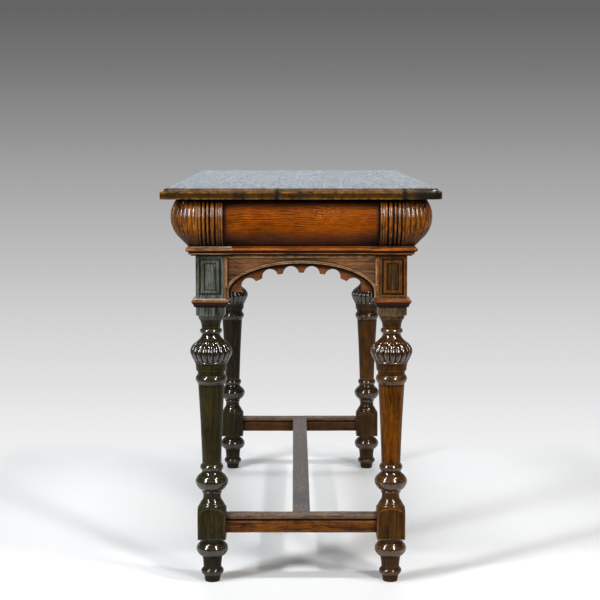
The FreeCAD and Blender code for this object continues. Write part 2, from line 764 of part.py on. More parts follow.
def arch(name, way, narrower, lower, out, stilted=True):
    """Solid of the arch opening, drawn in from the outside of its band, between two depths."""
    ellipse = doc.addObject("Part::Ellipse", f"{name}_ellipse")
    ellipse.setExpression("MajorRadius", f"{way['span']} - Sizes.arch_edge - ({narrower})")
    ellipse.setExpression("MinorRadius", f"Sizes.arch_rise - ({lower})")
    ellipse.Placement.Rotation = way["upright"]
    ellipse.setExpression(f"Placement.Base.{way['out']}", outwards(way, out[1]))
    ellipse.setExpression("Placement.Base.z", "Places.arch_spring")
    solid = doc.addObject("Part::Extrusion", f"{name}_arch")
    solid.Base = ellipse
    solid.DirMode = "Custom"
    solid.Dir = way["inwards"]
    solid.Solid = True
    solid.setExpression("LengthFwd", f"({out[1]}) - ({out[0]})")
    if not stilted:
        return solid
    half = f"({way['span']} - Sizes.arch_edge - ({narrower}))"
    below = ("Places.collar_foot", "Places.arch_spring")
    return join(name, solid, slab(f"{name}_stilt", way, (f"-{half}", half), out, below))


def apron(name, way):
    """Board under the moulding: arched, with a stepped band, sunk spandrels and a rebate for the fringe."""
    face = outwards(way, "Places.rail_face")
    back = outwards(way, "Places.rail_back")
    section = [
        (face, "Places.collar_head"),
        (back, "Places.collar_head"),
        (back, "Places.frieze_foot"),
        (face, "Places.frieze_foot"),
    ]
    board = tenoned(f"{name}_board", way, section, "Places.apron_tenon_foot", "Places.apron_tenon_head")
    opening = "Sizes.band_width + Sizes.cove_width"
    before = f"Places.rail_face + {CLEAR}"
    behind = f"Places.rail_back - {CLEAR}"
    through = (behind, before)
    step = ("Places.rail_face - Sizes.cove_depth", before)
    rebate = (behind, "Places.rail_back + Sizes.fringe_thickness")
    lapped = f"{opening} - Sizes.fringe_lap"
    sunk = ("Places.rail_face - Sizes.spandrel_depth", before)
    inside = f"({way['span']} - Sizes.spandrel_border)"
    up = ("Places.arch_spring", "Places.moulding_foot - Sizes.spandrel_border")
    spandrels = cut(f"{name}_spandrels", slab(f"{name}_sunk", way, (f"-{inside}", inside), sunk, up),
                    arch(f"{name}_band", way, "0", "0", sunk))
    tools = [
        arch(f"{name}_opening", way, opening, opening, through),
        arch(f"{name}_step", way, "Sizes.band_width", "Sizes.band_width", step),
        overlap(f"{name}_rebate", arch(f"{name}_lap", way, lapped, lapped, rebate, stilted=False),
                slab(f"{name}_over", way, (f"-{way['span']}", way["span"]), rebate,
                     ("Places.arch_spring", "Places.frieze_foot"))),
        spandrels,
    ]
    return cut(name, board, *tools)


def fringe(name, way):
    """Thin board with cusps, let into the back of an apron."""
    opening = "Sizes.band_width + Sizes.cove_width"
    lapped = f"{opening} - Sizes.fringe_lap"
    depth = ("Places.rail_back", "Places.rail_back + Sizes.fringe_thickness")
    through = (f"Places.rail_back - {CLEAR}", f"Places.rail_back + Sizes.fringe_thickness + {CLEAR}")
    blank = overlap(f"{name}_blank", arch(f"{name}_outside", way, lapped, lapped, depth, stilted=False),
                    slab(f"{name}_above", way, (f"-{way['span']}", way["span"]), depth,
                         ("Places.arch_spring", "Places.frieze_foot")))
    inside = arch(f"{name}_inside", way, "Sizes.fringe_side_depth", "Sizes.fringe_crown_depth", through)
    long_half = f"({way['span']} - Sizes.arch_edge - Sizes.scallop_side_inset)"
    short_half = "(Sizes.arch_rise - Sizes.scallop_crown_inset)"
    run = f"({long_half} - Sizes.scallop_end_inset)"
    count = round(float(places.evalExpression(f"{run} / Sizes.scallop_pitch")) + 0.5)
    tools = [inside]
    for number in range(1, count + 1):
        along = f"({run} * ({number} - 0.5) / ({count} - 0.5))"
        level = f"(Places.arch_spring + {short_half} * sqrt(1 - ({along} / {long_half}) ^ 2))"
        for hand, sign in (("right", "1"), ("left", "-1")):
            scallop = doc.addObject("Part::Cylinder", f"{name}_scallop_{hand}_{number}")
            scallop.Placement.Rotation = FreeCAD.Rotation(FreeCAD.Vector(0, 0, 1), way["inwards"])
            scallop.setExpression("Radius", "Sizes.scallop_radius")
            scallop.setExpression("Height", f"({through[1]}) - ({through[0]})")
            scallop.setExpression(f"Placement.Base.{way['along']}", f"{sign} * {along}")
            scallop.setExpression(f"Placement.Base.{way['out']}", outwards(way, through[1]))
            scallop.setExpression("Placement.Base.z", level)
            tools.append(scallop)
    foot = f"({run} + Sizes.scallop_radius)"
    tools.append(slab(f"{name}_foot", way, (f"-{foot}", foot), through, ("Places.collar_head", level)))
    return cut(name, blank, *tools)


def frame_sides():
    """Everything that runs between two posts, at the ends and along the sides."""
    for make, name in ((rail, "rail"), (apron, "apron"), (fringe, "fringe"), (frieze_board, "frieze_board"),
                       (straight_moulding, "moulding")):
        keep_pair(make(f"end_{name}", END), "front", "rear", ALONG)
        keep_pair(make(f"side_{name}", SIDE), "left", "right", ACROSS)


# ---------------------------------------------------------------------------------------------------------
# Stretchers
# ---------------------------------------------------------------------------------------------------------

def stretcher_section(middle):
    """Rectangle with a groove along each face."""
    groove_head = "Places.stretcher_head - Sizes.stretcher_fillet"
    groove_middle = f"{groove_head} - Sizes.stretcher_groove_width / 2"
    groove_foot = f"{groove_head} - Sizes.stretcher_groove_width"
    floor = "(Places.half_stretcher - Sizes.stretcher_groove_depth)"
    outline = [
        (f"{middle} - Places.half_stretcher", "Places.stretcher_foot"),
        (f"{middle} + Places.half_stretcher", "Places.stretcher_foot"),
        (f"{middle} + Places.half_stretcher", groove_foot),
        (f"{middle} + {floor}", groove_middle),
        (f"{middle} + Places.half_stretcher", groove_head),
        (f"{middle} + Places.half_stretcher", "Places.stretcher_head"),
        (f"{middle} - Places.half_stretcher", "Places.stretcher_head"),
        (f"{middle} - Places.half_stretcher", groove_head),
        (f"{middle} - {floor}", groove_middle),
        (f"{middle} - Places.half_stretcher", groove_foot),
    ]
    return outline


def stretcher_tenon(middle):
    """Section of a stretcher's tenons."""
    return [
        (f"{middle} - Places.half_stretcher_tenon", "Places.stretcher_tenon_foot"),
        (f"{middle} + Places.half_stretcher_tenon", "Places.stretcher_tenon_foot"),
        (f"{middle} + Places.half_stretcher_tenon", "Places.stretcher_tenon_head"),
        (f"{middle} - Places.half_stretcher_tenon", "Places.stretcher_tenon_head"),
    ]


def stretchers():
    """Two cross stretchers between the legs and a long one between those."""
    cross = new_body("cross_stretcher_body")
    pad(cross, sketch_on(cross, "YZ_Plane", stretcher_section("-Places.leg_y")), "2 * Places.span_x",
        both_ways=True)
    pad(cross, sketch_on(cross, "YZ_Plane", stretcher_tenon("-Places.leg_y")),
        "2 * (Places.span_x + Sizes.stretcher_tenon_length)", both_ways=True)
    mortise_end = "(Places.cross_face + Sizes.stretcher_tenon_length + Sizes.mortise_extra)"
    socket = box("long_stretcher_mortise", ("-Places.half_stretcher_tenon", "Places.half_stretcher_tenon"),
                 (f"-{mortise_end}", "-Places.cross_face"),
                 ("Places.stretcher_tenon_foot", "Places.stretcher_tenon_head"))
    keep_pair(cut("cross_stretcher", cross, socket), "front", "rear", ALONG)
    long_one = new_body("long_stretcher")
    pad(long_one, sketch_on(long_one, "XZ_Plane", stretcher_section("0")), "2 * Places.cross_face",
        both_ways=True)
    pad(long_one, sketch_on(long_one, "XZ_Plane", stretcher_tenon("0")),
        "2 * (Places.cross_face + Sizes.stretcher_tenon_length)", both_ways=True)
    keep(long_one)


# ---------------------------------------------------------------------------------------------------------
# Top and its fixings
# ---------------------------------------------------------------------------------------------------------

def edge_waste(half, hand):
    """What the edge moulding takes off the top, at one edge."""
    ledge = "Sizes.edge_ledge"
    inset = f"({ledge} + Sizes.edge_ovolo_width)"
    round_inset = f"({ledge} + Sizes.edge_ovolo_width * (1 - {HALF_ROOT}))"
    ovolo_foot = "Sizes.table_height - Sizes.edge_ovolo_height"
    edge_head = f"{ovolo_foot} - Sizes.edge_fillet"
    return [
        (f"{hand} * ({half} + {CLEAR})", edge_head),
        (f"{hand} * ({half} - {ledge})", edge_head),
        (f"{hand} * ({half} - {ledge})", ovolo_foot),
        (f"{hand} * ({half} - {inset})", "Sizes.table_height",
         f"{hand} * ({half} - {round_inset})", f"{ovolo_foot} + Sizes.edge_ovolo_height * {HALF_ROOT}"),
        (f"{hand} * ({half} - {inset})", f"Sizes.table_height + {CLEAR}"),
        (f"{hand} * ({half} + {CLEAR})", f"Sizes.table_height + {CLEAR}"),
    ]


def whole_top():
    """The glued-up top with its edge moulding run round all four sides."""
    body = new_body("whole_top")
    half_x = "Sizes.top_width / 2"
    half_y = "Sizes.top_length / 2"
    plan = [(f"-{half_x}", f"-{half_y}"), (half_x, f"-{half_y}"), (half_x, half_y), (f"-{half_x}", half_y)]
    pad(body, sketch_on(body, "XY_Plane", plan, offset=("0", "0", "Places.top_underside")),
        "Sizes.top_thickness")
    pocket_through(body, sketch_on(body, "XZ_Plane", edge_waste(half_x, "1"), edge_waste(half_x, "-1")))
    pocket_through(body, sketch_on(body, "YZ_Plane", edge_waste(half_y, "1"), edge_waste(half_y, "-1")))
    return body


def button():
    """Wooden button, its screw hole still missing. Rail face at y = 0, underside of the top at z = 0."""
    body = new_body("button_blank")
    section = [
        ("-Sizes.button_tongue_length", "-Sizes.button_height"),
        ("Sizes.button_length", "-Sizes.button_height"),
        ("Sizes.button_length", "0"),
        ("0", "0"),
        ("0", "Sizes.button_tongue_height - Sizes.button_height"),
        ("-Sizes.button_tongue_length", "Sizes.button_tongue_height - Sizes.button_height"),
    ]
    pad(body, sketch_on(body, "YZ_Plane", section), "Sizes.button_width", both_ways=True)
    return body


def screw():
    """Countersunk wood screw that points up, head flush with the button."""
    body = new_body("screw_blank", "0", "Sizes.screw_setback")
    foot = "-Sizes.button_height"
    head = f"{foot} + Sizes.screw_head_height"
    profile = [
        ("0", foot),
        ("Sizes.screw_head_radius", foot),
        ("Sizes.screw_radius", head),
        ("Sizes.screw_radius", f"{foot} + Sizes.screw_length"),
        ("0", f"{foot} + Sizes.screw_length"),
    ]
    turn(body, "Revolution", sketch_on(body, "XZ_Plane", profile))
    return body


def linked(name, source, spot):
    """The source again at a spot: x, y and turn."""
    made = doc.addObject("App::Link", name)
    made.LinkedObject = source
    rotation = FreeCAD.Rotation(FreeCAD.Vector(0, 0, 1), spot[2])
    made.LinkPlacement = FreeCAD.Placement(FreeCAD.Vector(), rotation)
    made.setExpression("LinkPlacement.Base.x", spot[0])
    made.setExpression("LinkPlacement.Base.y", spot[1])
    made.setExpression("LinkPlacement.Base.z", "Places.top_underside")
    return made


def top_and_fixings():
    """Three boards, and the buttons and screws that hold them down to the rails."""
    blank = screw()
    half_slot = "Sizes.screw_slot_width / 2"
    slot = box("screw_slot", ("-Sizes.screw_head_radius", "Sizes.screw_head_radius"),
               (f"Sizes.screw_setback - {half_slot}", f"Sizes.screw_setback + {half_slot}"),
               ("-Sizes.button_height", "-Sizes.button_height + Sizes.screw_slot_depth"))
    one_screw = cut("screw", blank, slot)
    one_button = cut("button", button(), blank)
    rail_x = "(Places.leg_x + Places.rail_back)"
    rail_y = "(Places.leg_y + Places.rail_back)"
    spots = []
    for step in ("-1", "0", "1"):
        spots.append((f"-{rail_x}", f"{step} * Sizes.side_button_spacing", -90))
        spots.append((rail_x, f"{step} * Sizes.side_button_spacing", 90))
    for step in ("-0.5", "0.5"):
        spots.append((f"{step} * Sizes.end_button_spacing", f"-{rail_y}", 0))
        spots.append((f"{step} * Sizes.end_button_spacing", rail_y, 180))
    buttons = [linked(f"button_{index}", one_button, spot) for index, spot in enumerate(spots)]
    keep(group("top_buttons", *buttons))
    screws = group("top_screws", *[linked(f"screw_{index}", one_screw, spot)
                                   for index, spot in enumerate(spots)])
    keep(screws)
    top = whole_top()
    edge_x = "Sizes.top_width / 2"
    seams = ((f"-{edge_x}", "Places.left_seam"), ("Places.left_seam", "Places.right_seam"),
             ("Places.right_seam", edge_x))
    for name, across in zip(("left", "middle", "right"), seams):
        strip = box(f"{name}_strip", across, ("-Sizes.top_length / 2", "Sizes.top_length / 2"),
                    ("Places.top_underside", "Sizes.table_height"))
        keep(cut(f"top_board_{name}", overlap(f"{name}_board", top, strip), screws))


legs()
collars()
corner_mouldings()
frieze_corners()
frame_sides()
stretchers()
top_and_fixings()
doc.recompute()

for item in doc.Objects:
    if "Invalid" in item.State or "Error" in item.State:
        raise RuntimeError(f"{item.Name} failed: {item.State}")
for item in nodes:
    if item.Shape.isNull() or not item.Shape.isValid() or not item.Shape.Solids:
        raise RuntimeError(f"{item.Label} has no sound shape")

os.makedirs("parts", exist_ok=True)
for item in nodes:
    item.Shape.exportStep(f"parts/{item.Label}.step")
    print(item.Label, len(item.Shape.Solids), round(item.Shape.Volume))
print(len(nodes), "nodes")
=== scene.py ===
import math

import bmesh
import bpy
import numpy as np
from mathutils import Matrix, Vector, noise


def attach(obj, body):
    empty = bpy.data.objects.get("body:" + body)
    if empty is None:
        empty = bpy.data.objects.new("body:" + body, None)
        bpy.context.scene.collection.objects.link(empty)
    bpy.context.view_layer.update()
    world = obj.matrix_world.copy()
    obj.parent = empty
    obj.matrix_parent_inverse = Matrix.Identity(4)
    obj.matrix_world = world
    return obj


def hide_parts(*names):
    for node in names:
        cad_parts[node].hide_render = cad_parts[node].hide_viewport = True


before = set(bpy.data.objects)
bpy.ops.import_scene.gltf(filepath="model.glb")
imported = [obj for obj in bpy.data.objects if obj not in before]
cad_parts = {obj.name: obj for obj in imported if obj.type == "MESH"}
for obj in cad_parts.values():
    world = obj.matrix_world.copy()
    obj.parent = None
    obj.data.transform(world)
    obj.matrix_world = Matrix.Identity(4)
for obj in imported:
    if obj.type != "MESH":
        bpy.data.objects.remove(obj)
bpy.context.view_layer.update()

# ----------------------------------------------------------
# Camera and studio
# A long lens looks at one end of the table from a little above the top. The floor sweeps up into a grey
# backdrop, lit by soft boxes. In front of the table the pale paper gives way to the studio's dark floor.
# ----------------------------------------------------------

camera = bpy.data.objects.new("camera", bpy.data.cameras.new("camera"))
camera.data.lens = 95.17
camera.data.sensor_width = 36
camera.location = (-0.0128, -3.508, 0.874)
camera.rotation_euler = (math.radians(83.76), 0, -0.0034)
bpy.context.scene.collection.objects.link(camera)
bpy.context.scene.camera = camera
bpy.context.scene.view_settings.view_transform = "Standard"


def soft_box(name, place, aim, width, height, watts, colour, spread):
    """A rectangular lamp with a grid, that faces a point."""
    lamp = bpy.data.lights.new(name, "AREA")
    lamp.shape = "RECTANGLE"
    lamp.size = width
    lamp.size_y = height
    lamp.energy = watts
    lamp.color = colour
    lamp.spread = math.radians(spread)
    stand = bpy.data.objects.new(name, lamp)
    stand.location = place
    stand.rotation_euler = (Vector(aim) - Vector(place)).to_track_quat("-Z", "Y").to_euler()
    bpy.context.scene.collection.objects.link(stand)
    return stand


TABLE_MIDDLE = (0, -0.3, 0.45)
soft_box("left_soft_box", (-1.75, -2.0, 1.45), TABLE_MIDDLE, 0.3, 1.4, 14.2, (0.89, 0.95, 1), 80)
soft_box("right_soft_box", (1.15, -2.35, 1.45), TABLE_MIDDLE, 0.3, 1.4, 11.1, (1, 0.97, 0.93), 80)
soft_box("left_high_lamp", (-1.9, -1.8, 3.8), TABLE_MIDDLE, 0.35, 0.35, 7, (1, 1, 1), 60)
soft_box("right_high_lamp", (1.9, -1.8, 3.8), TABLE_MIDDLE, 0.35, 0.35, 7, (1, 1, 1), 60)
soft_box("overhead_box", (0, 0.1, 3.4), (0, 0.1, 0), 1.3, 1.5, 18, (1, 1, 1), 120)
soft_box("rear_high_box", (0, 2.2, 3.0), (0, -0.4, 0.6), 2.6, 1.3, 12, (0.95, 0.97, 1), 90)
rear_strip = soft_box("rear_strip", (0, 2.6, 1.16), (0, 0, 0.76), 3.2, 0.8, 2.5, (0.74, 0.87, 1), 120)
rear_strip.visible_camera = False

SWEEP_START = 1.9
SWEEP_RADIUS = 1.1
HALF_STUDIO = 6
BACKDROP_TOP = 5
studio_profile = [(-7, 0), (SWEEP_START, 0)]
for step in range(1, 25):
    turn = math.radians(90 * step / 24)
    studio_profile.append((SWEEP_START + SWEEP_RADIUS * math.sin(turn), SWEEP_RADIUS * (1 - math.cos(turn))))
studio_profile.append((SWEEP_START + SWEEP_RADIUS, BACKDROP_TOP))
sweep_mesh = bpy.data.meshes.new("studio_sweep")
sweep_mesh.from_pydata(
    [(x, y, z) for y, z in studio_profile for x in (-HALF_STUDIO, HALF_STUDIO)], [],
    [(2 * i, 2 * i + 1, 2 * i + 3, 2 * i + 2) for i in range(len(studio_profile) - 1)])
for face in sweep_mesh.polygons:
    face.use_smooth = True
studio_sweep = bpy.data.objects.new("studio_sweep", sweep_mesh)
bpy.context.scene.collection.objects.link(studio_sweep)

def add_node(tree, kind, settings=None, **inputs):
    """A node with its settings, and sockets that are given as values or as other sockets."""
    node = tree.nodes.new(kind)
    for setting, value in (settings or {}).items():
        setattr(node, setting, value)
    for label, value in inputs.items():
        socket = node.inputs[int(label[1:])] if label[0] == "i" and label[1:].isdigit() else \
            node.inputs[label.replace("_", " ")]
        if isinstance(value, bpy.types.NodeSocket):
            tree.links.new(value, socket)
        else:
            socket.default_value = value
    return node


def maths(tree, operation, first, second, clamp=False):
    """One sum on two numbers."""
    return add_node(tree, "ShaderNodeMath", {"operation": operation, "use_clamp": clamp},
                    i0=first, i1=second).outputs[0]


def between(tree, value, low, high, to_low=0.0, to_high=1.0, way="LINEAR"):
    """A number taken from one range to another, and held there."""
    return add_node(tree, "ShaderNodeMapRange", {"interpolation_type": way}, Value=value, From_Min=low,
                    From_Max=high, To_Min=to_low, To_Max=to_high).outputs["Result"]


# Greys of the backdrop by height, as a share of FADE_HEAD.
FADE_HEAD = 2.2
BACKDROP_FADE = ((0, 0.745), (0.017, 0.71), (0.067, 0.64), (0.146, 0.535), (0.25, 0.425), (0.37, 0.305),
                 (0.5, 0.19), (0.61, 0.13), (1, 0.08))
# Where the pale paper has turned into dark floor, and where it begins to.
DARK_FLOOR, PAPER_END = -1.15, -0.7
# Where the floor begins to glow as backdrop, and where it is all backdrop.
GLOW_START, GLOW_FULL = 0.6, 0.85
paper = bpy.data.materials.new("studio_paper")
paper.use_nodes = True
tree = paper.node_tree
tree.nodes.clear()
geometry = add_node(tree, "ShaderNodeNewGeometry").outputs
place = add_node(tree, "ShaderNodeSeparateXYZ", Vector=geometry["Position"]).outputs
fade = add_node(tree, "ShaderNodeValToRGB", Fac=between(tree, place["Z"], 0, FADE_HEAD))
for height, grey in BACKDROP_FADE[1:-1]:
    fade.color_ramp.elements.new(height)
for stop, (height, grey) in zip(fade.color_ramp.elements, BACKDROP_FADE):
    stop.position = height
    stop.color = (grey, grey, grey, 1)
floor_tone = maths(tree, "MULTIPLY", between(tree, place["Y"], -0.2, 0.8, 0.71, 0.94),
                   between(tree, place["Y"], DARK_FLOOR, PAPER_END, 0.06, 1, "SMOOTHSTEP"))
lit_paper = add_node(tree, "ShaderNodeBsdfPrincipled", Base_Color=floor_tone, Roughness=0.9,
                     Specular_IOR_Level=0.1)
glow = add_node(tree, "ShaderNodeEmission", Color=fade.outputs["Color"],
                Strength=between(tree, place["Y"], GLOW_START, SWEEP_START, 1.2, 1))
ray = add_node(tree, "ShaderNodeLightPath").outputs
straight = maths(tree, "MAXIMUM", ray["Is Camera Ray"], ray["Is Transmission Ray"])
either = maths(tree, "MAXIMUM", straight, ray["Is Glossy Ray"])
shown = maths(tree, "MULTIPLY", either, between(tree, place["Y"], GLOW_START, GLOW_FULL))
mixed = add_node(tree, "ShaderNodeMixShader", Fac=shown, i1=lit_paper.outputs["BSDF"],
                 i2=glow.outputs["Emission"])
# From behind and from below the paper is clear, so that it hides no side of the table.
from_behind = maths(tree, "MULTIPLY", ray["Is Camera Ray"], geometry["Backfacing"])
clear = add_node(tree, "ShaderNodeBsdfTransparent")
one_way = add_node(tree, "ShaderNodeMixShader", Fac=from_behind, i1=mixed.outputs["Shader"],
                   i2=clear.outputs["BSDF"])
add_node(tree, "ShaderNodeOutputMaterial", Surface=one_way.outputs["Shader"])
studio_sweep.data.materials.append(paper)

room = bpy.data.worlds.new("room")
room.use_nodes = True
room.node_tree.nodes["Background"].inputs["Strength"].default_value = 0.04
bpy.context.scene.world = room

# ----------------------------------------------------------
# Legs
# Each leg is one turning in dark stained and polished oak: foot, square block for the stretcher, vase,
# tapered shaft, a bulb carved with gadroons, and a square post with a sunk panel on its two outer faces.
# ----------------------------------------------------------

MM = 0.001
LEG_X, LEG_Y = 172, 512
HALF_POST = 27
CORNERS = {"front_left": (-1, -1), "front_right": (1, -1), "rear_left": (-1, 1), "rear_right": (1, 1)}


def shader_group(name, inputs, outputs):
    """An empty shader node group with named sockets, and its two ends."""
    group = bpy.data.node_groups.new(name, "ShaderNodeTree")
    for label, kind, value in inputs:
        socket = group.interface.new_socket(label, in_out="INPUT", socket_type=kind)
        if value is not None:
            socket.default_value = value
    for label, kind in outputs:
        group.interface.new_socket(label, in_out="OUTPUT", socket_type=kind)
    return group, group.nodes.new("NodeGroupInput"), group.nodes.new("NodeGroupOutput")


def blended(tree, amount, first, second, way="MIX"):
    """Two colours mixed."""
    node = add_node(tree, "ShaderNodeMix", {"data_type": "RGBA", "blend_type": way})
    for label, value in (("Factor_Float", amount), ("A_Color", first), ("B_Color", second)):
        socket = next(s for s in node.inputs if s.identifier == label)
        if isinstance(value, bpy.types.NodeSocket):
            tree.links.new(value, socket)
        else:
            socket.default_value = value
    return next(s for s in node.outputs if s.identifier == "Result_Color")


def oak_grain_group():
    """Grain of sawn oak, along the X of its vector: growth rings, open pores and fine streaks."""
    group, start, end = shader_group(
        "oak_grain",
        [("Vector", "NodeSocketVector", None), ("Ring Width", "NodeSocketFloat", 0.006),
         ("Waver", "NodeSocketFloat", 1.0), ("Streak Width", "NodeSocketFloat", 0.004)],
        [("Rings", "NodeSocketFloat"), ("Pores", "NodeSocketFloat"), ("Streaks", "NodeSocketFloat")])
    vector = start.outputs["Vector"]
    wander = add_node(group, "ShaderNodeTexNoise", Scale=7.0, Detail=2.0, Vector=vector)
    pulled = add_node(group, "ShaderNodeVectorMath", {"operation": "MULTIPLY_ADD"}, i0=wander.outputs["Color"],
                      i1=(0.0, 0.02, 0.02), i2=vector).outputs[0]
    stretched = add_node(group, "ShaderNodeVectorMath", {"operation": "MULTIPLY"}, i0=pulled,
                         i1=(0.06, 1.0, 1.0)).outputs[0]
    rings_scale = maths(group, "DIVIDE", 0.314, start.outputs["Ring Width"])
    rings = add_node(group, "ShaderNodeTexWave",
                     {"wave_type": "RINGS", "rings_direction": "X", "wave_profile": "SAW"}, Vector=stretched,
                     Scale=rings_scale, Distortion=start.outputs["Waver"], Detail=3.0, Detail_Scale=1.2,
                     Detail_Roughness=0.6)
    pore_vector = add_node(group, "ShaderNodeVectorMath", {"operation": "MULTIPLY"}, i0=vector,
                           i1=(70.0, 1500.0, 1500.0)).outputs[0]
    pores = add_node(group, "ShaderNodeTexNoise", Scale=1.0, Detail=2.0, Roughness=0.6, Vector=pore_vector)
    near_ring = maths(group, "MULTIPLY", rings.outputs["Fac"], 0.07)
    pore_mask = between(group, maths(group, "ADD", pores.outputs["Fac"], near_ring), 0.56, 0.66)
    fineness = maths(group, "DIVIDE", 0.005, start.outputs["Streak Width"])
    streak_vector = add_node(group, "ShaderNodeVectorMath", {"operation": "MULTIPLY"}, i0=pulled,
                             i1=(6.0, 200.0, 200.0)).outputs[0]
    streaks = add_node(group, "ShaderNodeTexNoise", Scale=fineness, Detail=4.0, Roughness=0.7,
                       Vector=streak_vector)
    group.links.new(rings.outputs["Fac"], end.inputs["Rings"])
    group.links.new(pore_mask, end.inputs["Pores"])
    group.links.new(between(group, streaks.outputs["Fac"], 0.38, 0.64), end.inputs["Streaks"])
    return group


def old_polish_group():
    """Old dark polish over the grain: rubbed thin on edges, patchy elsewhere, and near black where the hollow value
    is high, which is dirt and painted shade.
    """
    numbers = ("Rings", "Pores", "Streaks", "Edge", "Hollow", "Grain Depth", "Patchiness", "Wear", "Shine",
               "Ring Share", "Dull Pores")
    group, start, end = shader_group(
        "old_polish",
        [("Vector", "NodeSocketVector", None), *((label, "NodeSocketFloat", 0) for label in numbers),
         *((label, "NodeSocketColor", None) for label in ("Dark", "Light", "Rubbed"))],
        [("Color", "NodeSocketColor"), ("Roughness", "NodeSocketFloat"), ("Height", "NodeSocketFloat")])
    place = start.outputs["Vector"]
    cloudy = add_node(group, "ShaderNodeTexNoise", Scale=16.0, Detail=4.0, Roughness=0.6, Vector=place)
    patches = between(group, cloudy.outputs["Fac"], 0.32, 0.68)
    tone = add_node(group, "ShaderNodeMix", Factor=start.outputs["Ring Share"], i2=start.outputs["Streaks"],
                    i3=start.outputs["Rings"]).outputs[0]
    swing = maths(group, "MULTIPLY", maths(group, "SUBTRACT", patches, 0.5), start.outputs["Patchiness"])
    tone = maths(group, "ADD", tone, swing, clamp=True)
    wood = blended(group, tone, start.outputs["Dark"], start.outputs["Light"])
    wood = blended(group, maths(group, "MULTIPLY", start.outputs["Pores"], 0.65), wood, start.outputs["Dark"])
    fine = add_node(group, "ShaderNodeTexNoise", Scale=90.0, Detail=5.0, Roughness=0.7, Vector=place)
    rub = maths(group, "MULTIPLY", start.outputs["Edge"], between(group, fine.outputs["Fac"], 0.36, 0.6))
    rub = maths(group, "MULTIPLY", rub, start.outputs["Wear"], clamp=True)
    wood = blended(group, rub, wood, start.outputs["Rubbed"])
    # The hollow value darkens towards black: painted shade in creases, grooves and under overhangs, with some dirt.
    shade_and_dirt = maths(group, "MULTIPLY", start.outputs["Hollow"], 0.9, clamp=True)
    wood = blended(group, shade_and_dirt, wood, (0.004, 0.003, 0.0025, 1))
    group.links.new(wood, end.inputs["Color"])
    dull = maths(group, "MULTIPLY", start.outputs["Pores"], start.outputs["Dull Pores"])
    rough = maths(group, "ADD", start.outputs["Shine"], dull)
    rough = maths(group, "ADD", rough, maths(group, "MULTIPLY", shade_and_dirt, 0.12))
    rough = maths(group, "ADD", rough, between(group, fine.outputs["Fac"], 0.3, 0.7, -0.04, 0.04), clamp=True)
    group.links.new(rough, end.inputs["Roughness"])
    deep = maths(group, "ADD", maths(group, "MULTIPLY", start.outputs["Pores"], 0.6),
                 maths(group, "MULTIPLY", maths(group, "SUBTRACT", 1.0, start.outputs["Streaks"]), 0.4))
    height = maths(group, "MULTIPLY", maths(group, "MULTIPLY", deep, -1.0), start.outputs["Grain Depth"])
    group.links.new(height, end.inputs["Height"])
    return group


OAK_GRAIN = oak_grain_group()
OLD_POLISH = old_polish_group()
GRAIN_TURNS = {"x": (0, 0, 0), "y": (0, 0, -math.pi / 2), "z": (0, math.pi / 2, 0)}


